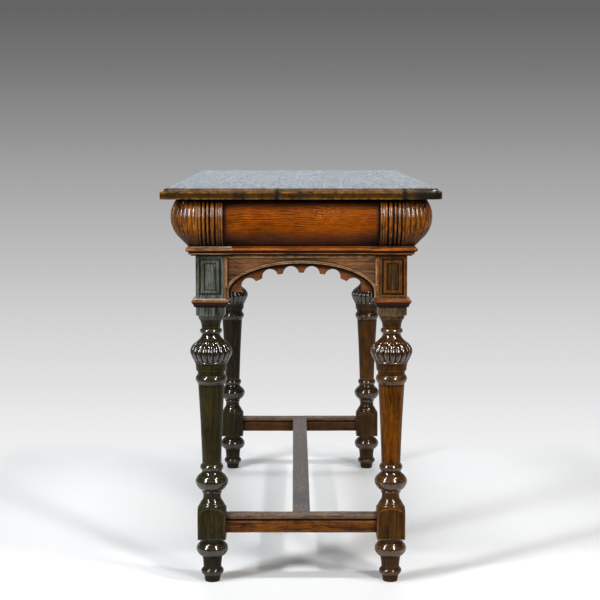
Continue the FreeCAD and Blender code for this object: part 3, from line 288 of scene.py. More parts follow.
def polished_oak(name, grain, dark, light, rubbed, pith=(0, 0.05, 0.09), ring_width=0.006, waver=1.0,
                 streak_width=0.004, ring_share=0.3, grain_depth=1.0, patchiness=0.5, wear=0.6, shine=0.3,
                 coat=0.2, coat_roughness=0.14, dull_pores=0.2, gloss=0.2, zones=(), shiny=(), feather=0.008,
                 open_pores=0.0):
    """A material for one board or turning. Its grain runs along an axis, pith is where the rings centre."""
    material = bpy.data.materials.new(name)
    material.use_nodes = True
    tree = material.node_tree
    bsdf = tree.nodes["Principled BSDF"]
    place = add_node(tree, "ShaderNodeTexCoord").outputs["Object"]
    turned = add_node(tree, "ShaderNodeMapping", Vector=place, Rotation=GRAIN_TURNS[grain], Location=pith)
    sawn = add_node(tree, "ShaderNodeGroup", {"node_tree": OAK_GRAIN}, Vector=turned.outputs[0],
                    Ring_Width=ring_width, Waver=waver, Streak_Width=streak_width)
    height = add_node(tree, "ShaderNodeSeparateXYZ", Vector=place).outputs["Z"]
    lighter, polish_left = (*light, 1), coat
    # Zones paint colours by height, and some of them paint light and shade; shiny zones set the coat.
    for low, high, value in (*zones, *shiny):
        inside = maths(tree, "MINIMUM", between(tree, height, low - feather, low + feather),
                       between(tree, height, high - feather, high + feather, 1.0, 0.0))
        if isinstance(value, tuple):
            lighter = blended(tree, inside, lighter, (*value, 1))
        else:
            polish_left = add_node(tree, "ShaderNodeMix", Factor=inside, i2=polish_left, i3=value).outputs[0]
    if open_pores:
        missing = maths(tree, "MULTIPLY", maths(tree, "SUBTRACT", 1.0, sawn.outputs["Streaks"]), open_pores)
        polish_left = maths(tree, "MULTIPLY", polish_left, maths(tree, "SUBTRACT", 1.0, missing))
    edge = add_node(tree, "ShaderNodeAttribute", {"attribute_name": "edge"}).outputs["Fac"]
    hollow = add_node(tree, "ShaderNodeAttribute", {"attribute_name": "hollow"}).outputs["Fac"]
    polish = add_node(tree, "ShaderNodeGroup", {"node_tree": OLD_POLISH}, Vector=turned.outputs[0],
                      Rings=sawn.outputs["Rings"], Pores=sawn.outputs["Pores"], Streaks=sawn.outputs["Streaks"],
                      Edge=edge, Hollow=hollow, Dark=(*dark, 1), Light=lighter, Rubbed=(*rubbed, 1),
                      Grain_Depth=grain_depth, Patchiness=patchiness, Wear=wear, Shine=shine,
                      Ring_Share=ring_share, Dull_Pores=dull_pores)
    bump = add_node(tree, "ShaderNodeBump", Strength=0.5, Distance=0.0004, Height=polish.outputs["Height"])
    tree.links.new(polish.outputs["Color"], bsdf.inputs["Base Color"])
    tree.links.new(polish.outputs["Roughness"], bsdf.inputs["Roughness"])
    tree.links.new(bump.outputs["Normal"], bsdf.inputs["Normal"])
    bsdf.inputs["Specular IOR Level"].default_value = gloss
    if isinstance(polish_left, bpy.types.NodeSocket):
        tree.links.new(polish_left, bsdf.inputs["Coat Weight"])
    else:
        bsdf.inputs["Coat Weight"].default_value = coat
    bsdf.inputs["Coat IOR"].default_value = 1.75
    bsdf.inputs["Coat Roughness"].default_value = coat_roughness
    return material


def solid(name, points, faces, material, sharp=38, shade_and_dirt=None):
    """A piece from points in millimetres. Its edges are marked for wear, and its creases, with the darkness given,
    for painted shade and dirt.
    """
    mesh = bpy.data.meshes.new(name)
    mesh.from_pydata([(x * MM, y * MM, z * MM) for x, y, z in points], [], faces)
    mesh.attributes.new("hollow", "FLOAT", "POINT").data.foreach_set("value", shade_and_dirt or [0] * len(points))
    fixed = bmesh.new()
    fixed.from_mesh(mesh)
    bmesh.ops.remove_doubles(fixed, verts=fixed.verts, dist=2e-6)
    bmesh.ops.recalc_face_normals(fixed, faces=fixed.faces)
    fixed.to_mesh(mesh)
    fixed.free()
    mark_wear(mesh)
    mesh.shade_smooth()
    mesh.set_sharp_from_angle(angle=math.radians(sharp))
    piece = bpy.data.objects.new(name, mesh)
    bpy.context.scene.collection.objects.link(piece)
    piece.modifiers.new("flat_faces_stay_flat", "WEIGHTED_NORMAL").keep_sharp = True
    mesh.materials.append(material)
    return piece


EDGE_ROUNDING = 0.0016
HOLLOW_ROUNDING = 0.0022


def mark_wear(mesh):
    """Store how sharply each point stands out (edge) or lies in a crease (hollow), from 0 to 1. The hollow value
    darkens the colour there: painted shade, with dirt.
    """
    def stored(items, label, width, kind=float):
        values = np.empty(len(items) * width, dtype=kind)
        items.foreach_get(label, values)
        return values.reshape(-1, width)

    place, normal = stored(mesh.vertices, "co", 3), stored(mesh.vertex_normals, "vector", 3)
    a, b = stored(mesh.edges, "vertices", 2, int).T
    step = place[b] - place[a]
    bend = ((normal[b] - normal[a]) * step).sum(1) / np.maximum((step * step).sum(1), 1e-12)
    out, sunk = np.zeros(len(place)), np.zeros(len(place))
    for end in (a, b):
        np.maximum.at(out, end, bend)
        np.maximum.at(sunk, end, -bend)
    hollow = mesh.attributes["hollow"].data
    carved = stored(hollow, "value", 1, np.float32)[:, 0]
    # Creases are painted darker, as shade and dirt.
    hollow.foreach_set("value", np.maximum(carved, np.clip(sunk * HOLLOW_ROUNDING, 0, 1)))
    mesh.attributes.new("edge", "FLOAT", "POINT").data.foreach_set("value", np.clip(out * EDGE_ROUNDING, 0, 1))


def smooth_line(points, steps=4):
    """Points along a smooth curve through the given ones."""
    line = []
    for index in range(len(points) - 1):
        before = points[max(index - 1, 0)]
        here, after = points[index], points[index + 1]
        beyond = points[min(index + 2, len(points) - 1)]
        for step in range(steps):
            t = step / steps
            line.append(tuple(
                0.5 * (2 * h + (n - p) * t + (2 * p - 5 * h + 4 * n - f) * t * t + (3 * h - p - 3 * n + f) * t ** 3)
                for p, h, n, f in zip(before, here, after, beyond)))
    return line + [points[-1]]


# Turned profile from the floor up, as stretches of (height, radius). A crease is left between stretches.
FOOT = (
    ((0, 12.4), (0.6, 14), (2, 14.5), (7, 15.2), (13, 16.1)),
    ((13, 16.6), (14.5, 18.6), (17, 20.7), (20.5, 21.8), (24, 20.9), (26.5, 18.8), (28, 17)),
    ((28, 17), (31, 17.3), (36, 17.6), (43, 18.4), (49, 19.4), (51, 20.8)),
    ((51, 21.4), (53, 24.6), (57, 28.2), (61, 30), (65, 30.6), (69, 30), (72, 28.6)),
    ((72, 27.6), (75, 26.1), (77.5, 23.8), (79.2, 20.4)),
    ((79.5, 19.8), (80, 19.5), (84, 19.5), (87, 19.5)),
)
VASE = (
    ((148, 24.9), (149.5, 25.1), (151.5, 24.4), (153, 23.2)),
    ((153, 22.8), (155, 22.4), (158, 20.6), (160.5, 18.7), (164, 17.2), (169, 16.8), (174.5, 16.8)),
    ((174.5, 18.5), (175.2, 19), (177.5, 19), (178.4, 18.6)),
    ((178.6, 18.9), (180.3, 21.8), (183.5, 25.4), (187.5, 28.4), (191.5, 30.4), (196, 31.4), (200, 31.1),
     (203, 29.8)),
    ((203, 29.1), (206, 27.8), (209, 25.2), (211.5, 22), (214, 20), (216, 19.4), (218, 19.3)),
    ((218, 19.6), (220, 21.1), (224.5, 22.4), (229, 21), (231, 19)),
)
SHAFT = (((231, 18.2), (240, 18.4), (285, 20), (330, 22), (386, 25.1)),)
CAP = (
    ((386, 25.2), (389, 27.2), (393, 29.4), (397, 29.9), (401, 28.6), (404, 26.2)),
    ((404, 25.9), (408, 25.8), (412, 26.2)),
    ((412, 28), (413, 28.6), (420, 29.4), (427, 30.4)),
    ((427, 31.4), (428.4, 31.9), (430, 31.4)),
    ((430, 32.4), (434, 34.9), (439, 37.3), (444, 39.3), (448, 40), (453, 39.3), (458, 37), (462, 34),
     (466, 30.2)),
    ((466, 28.6), (468, 27.2), (471, 23.8), (474, 20.8), (477, 18.7), (480, 17.8), (483.5, 17.7)),
    ((483.5, 18.6), (485, 20.5), (488, 21.3), (491, 20.5), (492.5, 18.6)),
    ((492.5, 17.9), (496, 17.9), (501, 18)),
    ((501.5, 18.6), (504, 19.2), (508, 20.8), (511.5, 23)),
    ((511.5, 23.4), (513, 23.7), (516, 23.6), (517, 23.3)),
)
AROUND = 240
LOBES = 20
LOBE_FOOT, LOBE_HEAD, LOBE_DEPTH, LOBE_TIP = 430.4, 468, 4, 7
SQUARE_CRISPNESS = 40
POST_FOOT = 541
# A radius beyond the corners of the square, where only the square counts.
BEYOND = 60


def gadroon_depth(height, share):
    """How far the carving goes in at a height, share is from -0.5 to 0.5 across one lobe."""
    if not LOBE_FOOT < height < LOBE_HEAD:
        return 0
    wide = 1
    if height < LOBE_FOOT + LOBE_TIP:
        wide = math.sqrt(max(0, 1 - ((LOBE_FOOT + LOBE_TIP - height) / LOBE_TIP) ** 2))
    deepest = LOBE_DEPTH * min(1, (height - LOBE_FOOT) / 2.5, (LOBE_HEAD - height) / 8)
    across = abs(2 * share) / max(wide, 0.02)
    return deepest * (1 - math.sqrt(max(0, 1 - min(1, across) ** 2)))


def square_radius(angle, half):
    """Distance from the axis to a square with eased corners."""
    return half / (abs(math.cos(angle)) ** SQUARE_CRISPNESS + abs(math.sin(angle)) ** SQUARE_CRISPNESS) ** (
        1 / SQUARE_CRISPNESS)


def leg_rings():
    """Rows of the turned part from the floor to the inside of the collar: height, radius, square or not."""
    rings = []

    def turned(stretch, fine=4, square=False):
        rings.extend((h, r, square) for h, r in smooth_line(stretch, fine))

    for stretch in FOOT:
        turned(stretch)
    rings.append((87, 26, False))
    rings += [(height, BEYOND, True) for height in (87, 87.6, 89.5, 108, 130, 132)]
    turned(((133, 38.6), (137, 36.9), (141, 34.5), (145, 30.8), (148, 26)), 6, True)
    for stretch in VASE + SHAFT + CAP:
        turned(stretch, 12 if stretch is SHAFT[0] else 8 if stretch is CAP[4] else 4)
    rings.append((517, 24.5, False))
    turned(((517.3, 26.5), (518.4, 30), (520, 33.6), (522, 35.9), (525, 38)), 3, True)
    rings += [(527, 38.6, True), (529, BEYOND, True), (535, BEYOND, True), (POST_FOOT, BEYOND, True)]
    return rings


def skin(rings, rows, closed=False, turned=False):
    """Faces between rings of points. An open run has a face at each end."""
    faces = []
    for place in range(rings if closed else rings - 1):
        here, there = place * rows, (place + 1) % rings * rows
        for row in range(rows):
            after = (row + 1) % rows
            face = here + row, here + after, there + after, there + row
            faces.append((face[0], *face[:0:-1]) if turned else face)
    if not closed:
        faces += [tuple(range(rows)), tuple(range((rings - 1) * rows, rings * rows))]
    return faces


def leg_points():
    """Points and faces of the turned part, and how much painted shade each point takes in the gadroon grooves."""
    points, shade_and_dirt = [], []
    rings = leg_rings()
    for height, radius, square in rings:
        for step in range(AROUND):
            angle = 2 * math.pi * step / AROUND
            share = (step * LOBES / AROUND + 0.5) % 1 - 0.5
            carving = gadroon_depth(height, share)
            reach = radius - carving
            if square:
                reach = min(reach, square_radius(angle, HALF_POST))
            points.append((reach * math.cos(angle), reach * math.sin(angle), height))
            # Painted shade, black at the bottom of each gadroon groove.
            shade_and_dirt.append(min(1, 1.3 * carving / LOBE_DEPTH))
    return points, skin(len(rings), AROUND), shade_and_dirt


PANEL_MIDDLE = 592.75
POST_HEAD = 741
# Steps of a sunk panel from its edge inwards: half width, half height, depth.
PANEL_STEPS = ((21.3, 35.05, 0), (21, 34.75, 0.5), (20.8, 34.5, 2.9), (17.9, 31.6, 3), (17.3, 31, 0.9),
               (16.6, 30.3, 0.3), (15.8, 29.5, 0.3), (13, 27.2, 0.3), (12.2, 26.4, 0.3), (11.6, 25.8, 0.9),
               (11.2, 25.4, 2.9), (10.6, 24.8, 3), (9.4, 23.6, 3), (8.6, 22.8, 3))
POST_EASE = 0.7


def post_faces(points, faces):
    """The square post as a box with eased corners. Its two outer faces carry sunk panels."""
    def add(corners):
        first = len(points)
        points.extend(corners)
        return list(range(first, first + len(corners)))

    half = HALF_POST
    flat = half - POST_EASE
    upright = {
        "front": lambda a, z, depth: (a, -half + depth, z),
        "left": lambda a, z, depth: (-half + depth, -a, z),
        "rear": lambda a, z, depth: (-a, half - depth, z),
        "right": lambda a, z, depth: (half - depth, a, z),
    }
    edges = {}
    for side, spot in upright.items():
        outer = add([spot(-flat, POST_FOOT, 0), spot(flat, POST_FOOT, 0), spot(flat, POST_HEAD, 0),
                     spot(-flat, POST_HEAD, 0)])
        edges[side] = outer
        if side in ("rear", "right"):
            faces.append(outer)
            continue
        last = outer
        loops = [(flat - 1.6, POST_FOOT + 2, POST_HEAD - 2, 0),
                 (22.6, PANEL_MIDDLE - 36.4, PANEL_MIDDLE + 36.4, 0)]
        loops += [(wide, PANEL_MIDDLE - tall, PANEL_MIDDLE + tall, depth) for wide, tall, depth in PANEL_STEPS]
        for wide, low, high, depth in loops:
            loop = add([spot(-wide, low, depth), spot(wide, low, depth),
                        spot(wide, high, depth), spot(-wide, high, depth)])
            for k in range(4):
                faces.append((last[k], last[(k + 1) % 4], loop[(k + 1) % 4], loop[k]))
            last = loop
        faces.append(last)
    bottom, top = [], []
    out = half - POST_EASE * 0.3
    for here, after, x, y in (("front", "right", out, -out), ("right", "rear", out, out),
                              ("rear", "left", -out, out), ("left", "front", -out, -out)):
        a, b = edges[here], edges[after]
        low, high = add([(x, y, POST_FOOT), (x, y, POST_HEAD)])
        faces.append((a[1], low, high, a[2]))
        faces.append((low, b[0], b[3], high))
        bottom += [a[0], a[1], low]
        top += [a[3], a[2], high]
    faces += [bottom, top]


# Dark, light and rubbed colours of each leg. Part of the difference is the stain and part is painted light: the right
# legs are painted warmer and lighter, as lit from the right.
LEG_TONES_AND_LIGHT = {
    "front_left": ((0.004, 0.003, 0.001), (0.036, 0.027, 0.008), (0.09, 0.075, 0.045)),
    "front_right": ((0.005, 0.0025, 0.001), (0.075, 0.032, 0.006), (0.3, 0.1, 0.02)),
    "rear_left": ((0.004, 0.003, 0.0015), (0.03, 0.022, 0.008), (0.08, 0.055, 0.03)),
    "rear_right": ((0.005, 0.0025, 0.001), (0.06, 0.027, 0.005), (0.12, 0.07, 0.025)),
}
# Colours by height in metres. The feet are painted darker, as shade near the floor, and the front bulbs darker too.
# The right legs' shafts, and the front right abacus and post, are painted lighter and warmer, as lit from the right.
# The front left post and abacus are painted pale grey-green.
LEG_PAINTED_ZONES = {
    "front_left": ((0, 0.05, (0.018, 0.013, 0.004)), (0.43, 0.468, (0.014, 0.01, 0.003)),
                   (0.512, 0.76, (0.15, 0.165, 0.14))),
    "front_right": ((0, 0.05, (0.04, 0.017, 0.003)), (0.43, 0.468, (0.04, 0.016, 0.003)),
                    (0.234, 0.386, (0.17, 0.05, 0.001)), (0.512, 0.536, (0.15, 0.1, 0.055)),
                    (0.545, 0.64, (0.095, 0.045, 0.013))),
    "rear_left": (),
    "rear_right": ((0.234, 0.386, (0.11, 0.04, 0.005)),),
}
# Where hands and dusters keep the polish bright.
LEG_SHINE = ((0.014, 0.028, 0.5), (0.054, 0.079, 0.75), (0.15, 0.165, 0.5), (0.174, 0.232, 0.75),
             (0.386, 0.404, 0.6), (0.428, 0.494, 1.0))


def carried(piece, node):
    """The piece rides on the table and stands for its node."""
    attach(piece, "root")
    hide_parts(node)


leg_shape, leg_faces, leg_groove_shade = leg_points()
post_faces(leg_shape, leg_faces)
leg_groove_shade += [0] * (len(leg_shape) - len(leg_groove_shade))
for index, (corner, (across, along)) in enumerate(CORNERS.items()):
    dark, light, rubbed = LEG_TONES_AND_LIGHT[corner]
    wood = polished_oak(f"leg_oak_{corner}", "z", dark, light, rubbed, pith=(0.3 * index, 0.11, 0.05 * index),
                        ring_width=0.005, streak_width=0.0035, grain_depth=1.4, patchiness=0.4, wear=0.55,
                        shine=0.3, coat=0.05, coat_roughness=0.11, gloss=0.05, zones=LEG_PAINTED_ZONES[corner],
                        shiny=LEG_SHINE, feather=0.004)
    placed = [(across * LEG_X - across * x, along * LEG_Y - along * y, z) for x, y, z in leg_shape]
    carried(solid(f"turned_leg_{corner}", placed, leg_faces, wood, shade_and_dirt=leg_groove_shade), f"leg_{corner}")

# ----------------------------------------------------------
# Collars
# A mitred oak moulding is glued round the foot of each square post, under the sunk panels. Its round nose
# is painted a bright red brown, for rubbed wood and a painted highlight, its top a painted sheen and its underside a
# painted shadow.
# ----------------------------------------------------------

WARM_DARK = (0.015, 0.005, 0.001)
WARM_RUBBED = (0.42, 0.12, 0.02)
# Colours painted on the crest of each collar's nose: rubbed wood and a painted highlight.
NOSE_RUB_AND_HIGHLIGHT = {"front_left": (0.4, 0.13, 0.03), "front_right": (0.29, 0.045, 0.001),
              "rear_left": (0.2, 0.08, 0.025), "rear_right": (0.25, 0.06, 0.004)}
# Paler colour on what faces up: a painted sheen of the light from above.
UPWARD_PAINTED_SHEEN = {"front_left": (0.58, 0.47, 0.4), "front_right": (0.17, 0.09, 0.05),
         "rear_left": (0.3, 0.2, 0.15), "rear_right": (0.2, 0.08, 0.03)}


def eased(outline, ease=0.5, least=22):
    """A closed outline with its corners rounded. Points beside them keep their wear off the flats."""
    softened = []
    count = len(outline)
    for index in range(count):
        here = Vector(outline[index])
        back = Vector(outline[index - 1]) - here
        on = Vector(outline[(index + 1) % count]) - here
        if math.degrees(math.pi - back.angle(on)) < least:
            softened.append(tuple(here))
            continue
        start = here + back.normalized() * min(ease, back.length * 0.45)
        end = here + on.normalized() * min(ease, on.length * 0.45)
        softened += [tuple(start), tuple((start + end + 2 * here) / 4), tuple(end)]
    guarded = []
    for here, there in zip(softened, softened[1:] + softened[:1]):
        guarded.append(here)
        run = Vector(there) - Vector(here)
        if run.length > 5:
            margin = run.normalized() * 1.4
            guarded += [tuple(Vector(here) + margin), tuple(Vector(there) - margin)]
    return guarded


# The unevenness has a fixed seed, so that every run gives the same pieces.
noise.seed_set(5)


def uneven(points, amount, length=45):
    """Points moved a little, as if planed by hand. Points that lie together move together."""
    moved = []
    for point in points:
        x, y, z = Vector(point) + noise.noise_vector(Vector(point) / length) * amount
        moved.append((x, y, z))
    return moved


def stations(corners, spacing=8, closed=False):
    """Close steps along a mitred path. A corner is a point and the way the section leans out there."""
    steps = []
    following = corners[1:] + corners[:1] if closed else corners[1:]
    for (here, lean), (there, next_lean) in zip(corners, following):
        count = max(1, round((Vector(there) - Vector(here)).length / spacing))
        for step in range(count):
            t = step / count
            steps.append((Vector(here).lerp(Vector(there), t), Vector(lean).lerp(Vector(next_lean), t)))
    if not closed:
        steps.append((Vector(corners[-1][0]), Vector(corners[-1][1])))
    return steps


def moulding(name, section, corners, material, closed=False, waver=0.12, black=None):
    """A closed section carried along a mitred path. Section points are (outwards, height)."""
    path = stations(corners, closed=closed)
    shade_and_dirt = None
    if black:
        ends = path[0][0], path[-1][0]
        shade_and_dirt = [black(out, z, min((spot - end).length for end in ends))
                for spot, lean in path for out, z in section]
    points = [(spot.x + lean.x * out, spot.y + lean.y * out, z) for spot, lean in path for out, z in section]
    return solid(name, uneven(points, waver), skin(len(path), len(section), closed, True), material, shade_and_dirt=shade_and_dirt)


def moulding_oak(name, grain, light, pith, zones):
    """The finish of the mouldings, bright only on their crests, where zones paint rubbed wood and a highlight."""
    return polished_oak(name, grain, WARM_DARK, light, WARM_RUBBED, pith=pith, wear=0.25, shine=0.24, coat=0.05,
                        gloss=0.08, zones=zones, feather=0.0005)


def collar_painted_shadow(out, height, from_end):
    """Painted shadow under the nose."""
    return 1.05 if height < 539 else 0.9 if height < 545.4 else 0


COLLAR = eased([(-1.5, 536), (3.5, 536), (3.5, 539.3), (4, 539.8), (7.2, 545), (7.9, 545.9), (8.2, 547), (7.9, 548.2),
                (7.2, 549), (0.4, 551.8), (-1.5, 552)])
for index, (corner, (across, along)) in enumerate(CORNERS.items()):
    # The zones paint the crest of the nose bright, as rubbed wood and a highlight, and the top a painted sheen.
    warm = moulding_oak(f"collar_oak_{corner}", "x", (0.13, 0.05, 0.012), (0.2 * index, 0.07, 0.03 * index),
                        ((0.5454, 0.5486, NOSE_RUB_AND_HIGHLIGHT[corner]), (0.549, 0.56, UPWARD_PAINTED_SHEEN[corner])))
    x, y, h = across * LEG_X, along * LEG_Y, HALF_POST
    path = [((x + h * a, y + h * b), (a, b)) for a, b in ((-1, -1), (1, -1), (1, 1), (-1, 1))]
    collar = moulding(f"post_collar_{corner}", COLLAR, path, warm, closed=True, black=collar_painted_shadow)
    carried(collar, f"collar_{corner}")

# ----------------------------------------------------------
# Stretchers
# Two cross stretchers are tenoned into the leg blocks and a long one into those. They are oak bars with a
# groove scratched along each face. The cross bars are painted greyer on their upper part and paler on top, as a
# painted sheen.
# ----------------------------------------------------------

STRETCHER_FOOT, STRETCHER_HEAD, HALF_STRETCHER = 99, 132.5, 17
GROOVE_TOP, GROOVE_FOOT, GROOVE_DEPTH = 126.2, 121.8, 3.2


def stretcher_section(low, high):
    """The bar's section between its two faces, with a groove on each."""
    inner_low, inner_high = low + GROOVE_DEPTH, high - GROOVE_DEPTH
    floor, roof = GROOVE_FOOT + 1.2, GROOVE_TOP - 0.8
    return eased([(low, STRETCHER_FOOT), (high, STRETCHER_FOOT), (high, GROOVE_FOOT), (inner_high, floor),
                  (inner_high, roof), (high, GROOVE_TOP), (high, STRETCHER_HEAD), (low, STRETCHER_HEAD),
                  (low, GROOVE_TOP), (inner_low, roof), (inner_low, floor), (low, GROOVE_FOOT)], 0.9)


def groove_painted_shade(out, height, from_end):
    """Painted shade: black in the grooves, and darker where the bar meets its tenons."""
    sunk = HALF_STRETCHER - abs(out) > 0.6 and GROOVE_FOOT - 0.2 < height < GROOVE_TOP + 0.2
    return 1 if sunk else 0.6 * max(0, (12 - from_end) / 12)


bar = stretcher_section(-HALF_STRETCHER, HALF_STRETCHER)
# The rear bar is painted darker than the front one, as in shade under the table. The zones paint the upper part
# greyer and the top paler: a painted sheen.
for end, along, light in (("front", -1, (0.19, 0.055, 0.003)), ("rear", 1, (0.065, 0.023, 0.003))):
    wood = polished_oak(f"cross_stretcher_oak_{end}", "x", (0.012, 0.004, 0.001), light, (0.22, 0.14, 0.09),
                        pith=(0.5 * along, 0.12, 0.04), wear=0.3, shine=0.28, coat=0, gloss=0.06,
                        zones=((0.1262, 0.14, (0.12, 0.065, 0.03)), (0.132, 0.14, (0.26, 0.17, 0.12))),
                        feather=0.0005)
    path = [((-147, along * LEG_Y), (0, -1)), ((147, along * LEG_Y), (0, -1))]
    cross_bar = moulding(f"cross_bar_{end}", bar, path, wood, waver=0.5, black=groove_painted_shade)
    carried(cross_bar, f"cross_stretcher_{end}")
wood = polished_oak("long_stretcher_oak", "y", (0.02, 0.008, 0.003), (0.1, 0.045, 0.015), (0.2, 0.12, 0.08),
                    pith=(0.1, 0.1, 0.03), wear=0.6, shine=0.35, coat=0.2, gloss=0.3)
long_bar = moulding("long_bar", bar, [((0, -496), (1, 0)), ((0, 496), (1, 0))], wood, waver=0.5,
                    black=groove_painted_shade)
carried(long_bar, "long_stretcher")

# ----------------------------------------------------------
# Rails
# The carcase rails join the posts behind the frieze. They are plain sawn oak, unpolished, and are seen
# only from below. The solids stay as they are.
# ----------------------------------------------------------

def finished(node, material):
    """A CAD solid that keeps its shape and takes a finish."""
    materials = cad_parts[node].data.materials
    materials.clear()
    materials.append(material)


for index, (name, grain) in enumerate((("end_rail_front", "x"), ("end_rail_rear", "x"),
                                       ("side_rail_left", "y"), ("side_rail_right", "y"))):
    sawn = polished_oak(f"carcase_oak_{index}", grain, (0.045, 0.022, 0.01), (0.16, 0.09, 0.045), (0.2, 0.12, 0.06),
                        pith=(0.3 * index, 0.2, 0.1), grain_depth=2, wear=0.2, shine=0.62, coat=0)
    finished(name, sawn)

# ----------------------------------------------------------
# Aprons
# Arched oak boards between the posts. The arch has a flat band with a hollow inside it, and the corners
# above it are sunk between narrow strips.
# ----------------------------------------------------------

SPRING, RISE, ARCH_EDGE = 562, 61, 2
APRON_FOOT, APRON_HEAD, SUNK_HEAD = 552, 651.5, 628.5
FACE, BACK, STRIP = 20, -2, 5
REBATE, REBATE_FACE, OPENING = 2.4, 6, 10.4
SUNK_DEPTH = 2.3
# Where points lie on a flat strip, as shares of its width.
STRIP_SHARES = (0.15, 0.3, 0.45, 0.6, 0.75, 0.9)
# The band in section: distance inside its outer edge, then height of the surface over the line of the legs.
BAND = ((10.4, 12.8), (9, 12.2), (6.8, 13), (5.3, 15), (4.9, 18.9), (4.5, 19.8), (3.2, 20), (2, 19.7), (1.7, 20.1),
        (0.9, 20.3), (0.3, 20), (0, 19.2))


def side_spots(corners, kind):
    """Points of an end piece, given as (along, outwards, height), set at one of the four sides."""
    turned = {
        "end_front": lambda a, out, z: (a, -LEG_Y - out, z),
        "end_rear": lambda a, out, z: (-a, LEG_Y + out, z),
        "side_left": lambda a, out, z: (-LEG_X - out, -a, z),
        "side_right": lambda a, out, z: (LEG_X + out, a, z),
    }[kind]
    return [turned(*corner) for corner in corners]


def apron_shape(span):
    """Rings of points round the board's section, one for each step along the arch."""
    half, strip_edge = span - ARCH_EDGE, span - STRIP
    high, sunk_high = APRON_HEAD - SPRING, SUNK_HEAD - SPRING
    outer_corner = math.atan2(high / RISE, span / half)
    sunk_corner = math.atan2(sunk_high / RISE, strip_edge / half)
    turns = sorted({math.pi / 2 * k / 60 for k in range(61)} | {outer_corner, sunk_corner})
    columns = [(None, APRON_FOOT + k * 3.3, False) for k in range(3)] + [(None, SPRING, False)]
    columns += [(turn, None, True) for turn in turns]
    columns += [(math.pi - turn, None, True) for turn in reversed(turns[:-1])]
    columns += [(math.pi, SPRING, False)] + [(math.pi, APRON_FOOT + k * 3.3, False) for k in (2, 1, 0)]
    rings = []
    for turn, level, arched in columns:
        if not arched:
            hand = -1 if turn else 1
            arch = [(hand * (half - inset), out, level) for inset, out in BAND]
            ends = [(hand * (half + ARCH_EDGE * share), FACE, level) for share in STRIP_SHARES]
            edge = hand * span
            ring = [(hand * (half - OPENING), BACK, level), (hand * (half - OPENING), REBATE_FACE, level),
                    (hand * (half - OPENING), REBATE_FACE, level)]
            ring += arch + ends + [(edge, FACE, level), (edge, BACK, level)]
            rings.append(ring)
            continue
        across, up = math.cos(turn), math.sin(turn)

        def on_arch(inset, out):
            return ((half - inset) * across, out, SPRING + (RISE - inset) * up)

        def on_frame(wide, tall):
            """Where a line from the middle of the arch through its edge meets a frame, and how far along."""
            reach = min(wide / max(abs(half * across), 1e-6), tall / max(RISE * up, 1e-6))
            return reach, (half * across * reach, SPRING + RISE * up * reach)

        edge_x, edge_z = on_frame(span, high)[1]
        near, (strip_x, strip_z) = on_frame(strip_edge, sunk_high)
        gap = math.hypot(strip_x - half * across, strip_z - SPRING - RISE * up) if near > 1 else 0
        sink = SUNK_DEPTH * min(1, gap / 4)
        if gap < 0.6:
            ends = [(half * across + (edge_x - half * across) * share, FACE,
                     SPRING + RISE * up + (edge_z - SPRING - RISE * up) * share) for share in STRIP_SHARES]
        else:
            wall = min(0.5, gap / 4)
            x, z = half * across, SPRING + RISE * up
            dx, dz = (strip_x - x) / gap, (strip_z - z) / gap
            guard = min(2, gap / 3)
            ends = [(x + dx * wall * 0.5, FACE - sink, z + dz * wall * 0.5),
                    (x + dx * guard, FACE - sink, z + dz * guard),
                    (strip_x - dx * guard, FACE - sink, strip_z - dz * guard),
                    (strip_x - dx * wall, FACE - sink, strip_z - dz * wall),
                    (strip_x, FACE - 0.4 * min(1, sink), strip_z),
                    (strip_x + dx * 0.4, FACE, strip_z + dz * 0.4)]
        ring = [on_arch(REBATE, BACK), on_arch(REBATE, REBATE_FACE), on_arch(OPENING, REBATE_FACE)]
        ring += [on_arch(inset, out) for inset, out in BAND] + ends
        ring += [(edge_x, FACE, edge_z), (edge_x, BACK, edge_z)]
        rings.append(ring)
    return rings


# Half the length of a run between two posts, and the way of its grain.
SIDES = {"end_front": (145, "x"), "end_rear": (145, "x"), "side_left": (485, "y"), "side_right": (485, "y")}
# Places in a ring: the hollow beside the band, and how much painted shade the feet of the walls round the sunk field
# take.
COVE = range(3, 7)
WALL_FOOT_SHADE = {15: 0.95, 18: 0.43}


def node_name(side, part):
    """The CAD node of a part of one side."""
    way, place = side.split("_")
    return f"{way}_{part}_{place}"


for index, (side, (span, grain)) in enumerate(SIDES.items()):
    # The boards are painted lighter, to make up for the shade under the frieze, and the zone paints the top strip
    # under the moulding darker, as its shadow.
    warm = polished_oak(f"apron_oak_{side}", grain, (0.06, 0.025, 0.007), (0.54, 0.23, 0.085), (0.55, 0.3, 0.13),
                        pith=(0.4 * index, 0.06, 0.07), wear=0.8, shine=0.26, coat=0, gloss=0.12,
                        zones=((0.6292, 0.66, (0.11, 0.055, 0.018)),), feather=0.0006)
    rings = apron_shape(span)
    shape = [point for ring in rings for point in ring]
    # Painted shade: black in the hollow beside the band, and darker at the feet of the walls round the sunk field.
    shade_and_dirt = [1.1 if place in COVE else max(0, FACE - point[1]) * WALL_FOOT_SHADE.get(place, 0)
            for ring in rings for place, point in enumerate(ring)]
    apron = solid(f"arched_apron_{side}", uneven(side_spots(shape, side), 0.12), skin(len(rings), len(rings[0])),
                  warm, sharp=32, shade_and_dirt=shade_and_dirt)
    carried(apron, node_name(side, "apron"))

# ----------------------------------------------------------
# Fringes
# A thin red brown board with cusps between round bites is let into the back of each arch.
# ----------------------------------------------------------

FRINGE_FACE, FRINGE_EASE = 6, 0.6
CUSP_SIDE, CUSP_CROWN = 40, 24
BITE, BITE_PITCH, BITE_SIDE, BITE_CROWN, BITE_END = 15, 40, 38, 26, 6.5


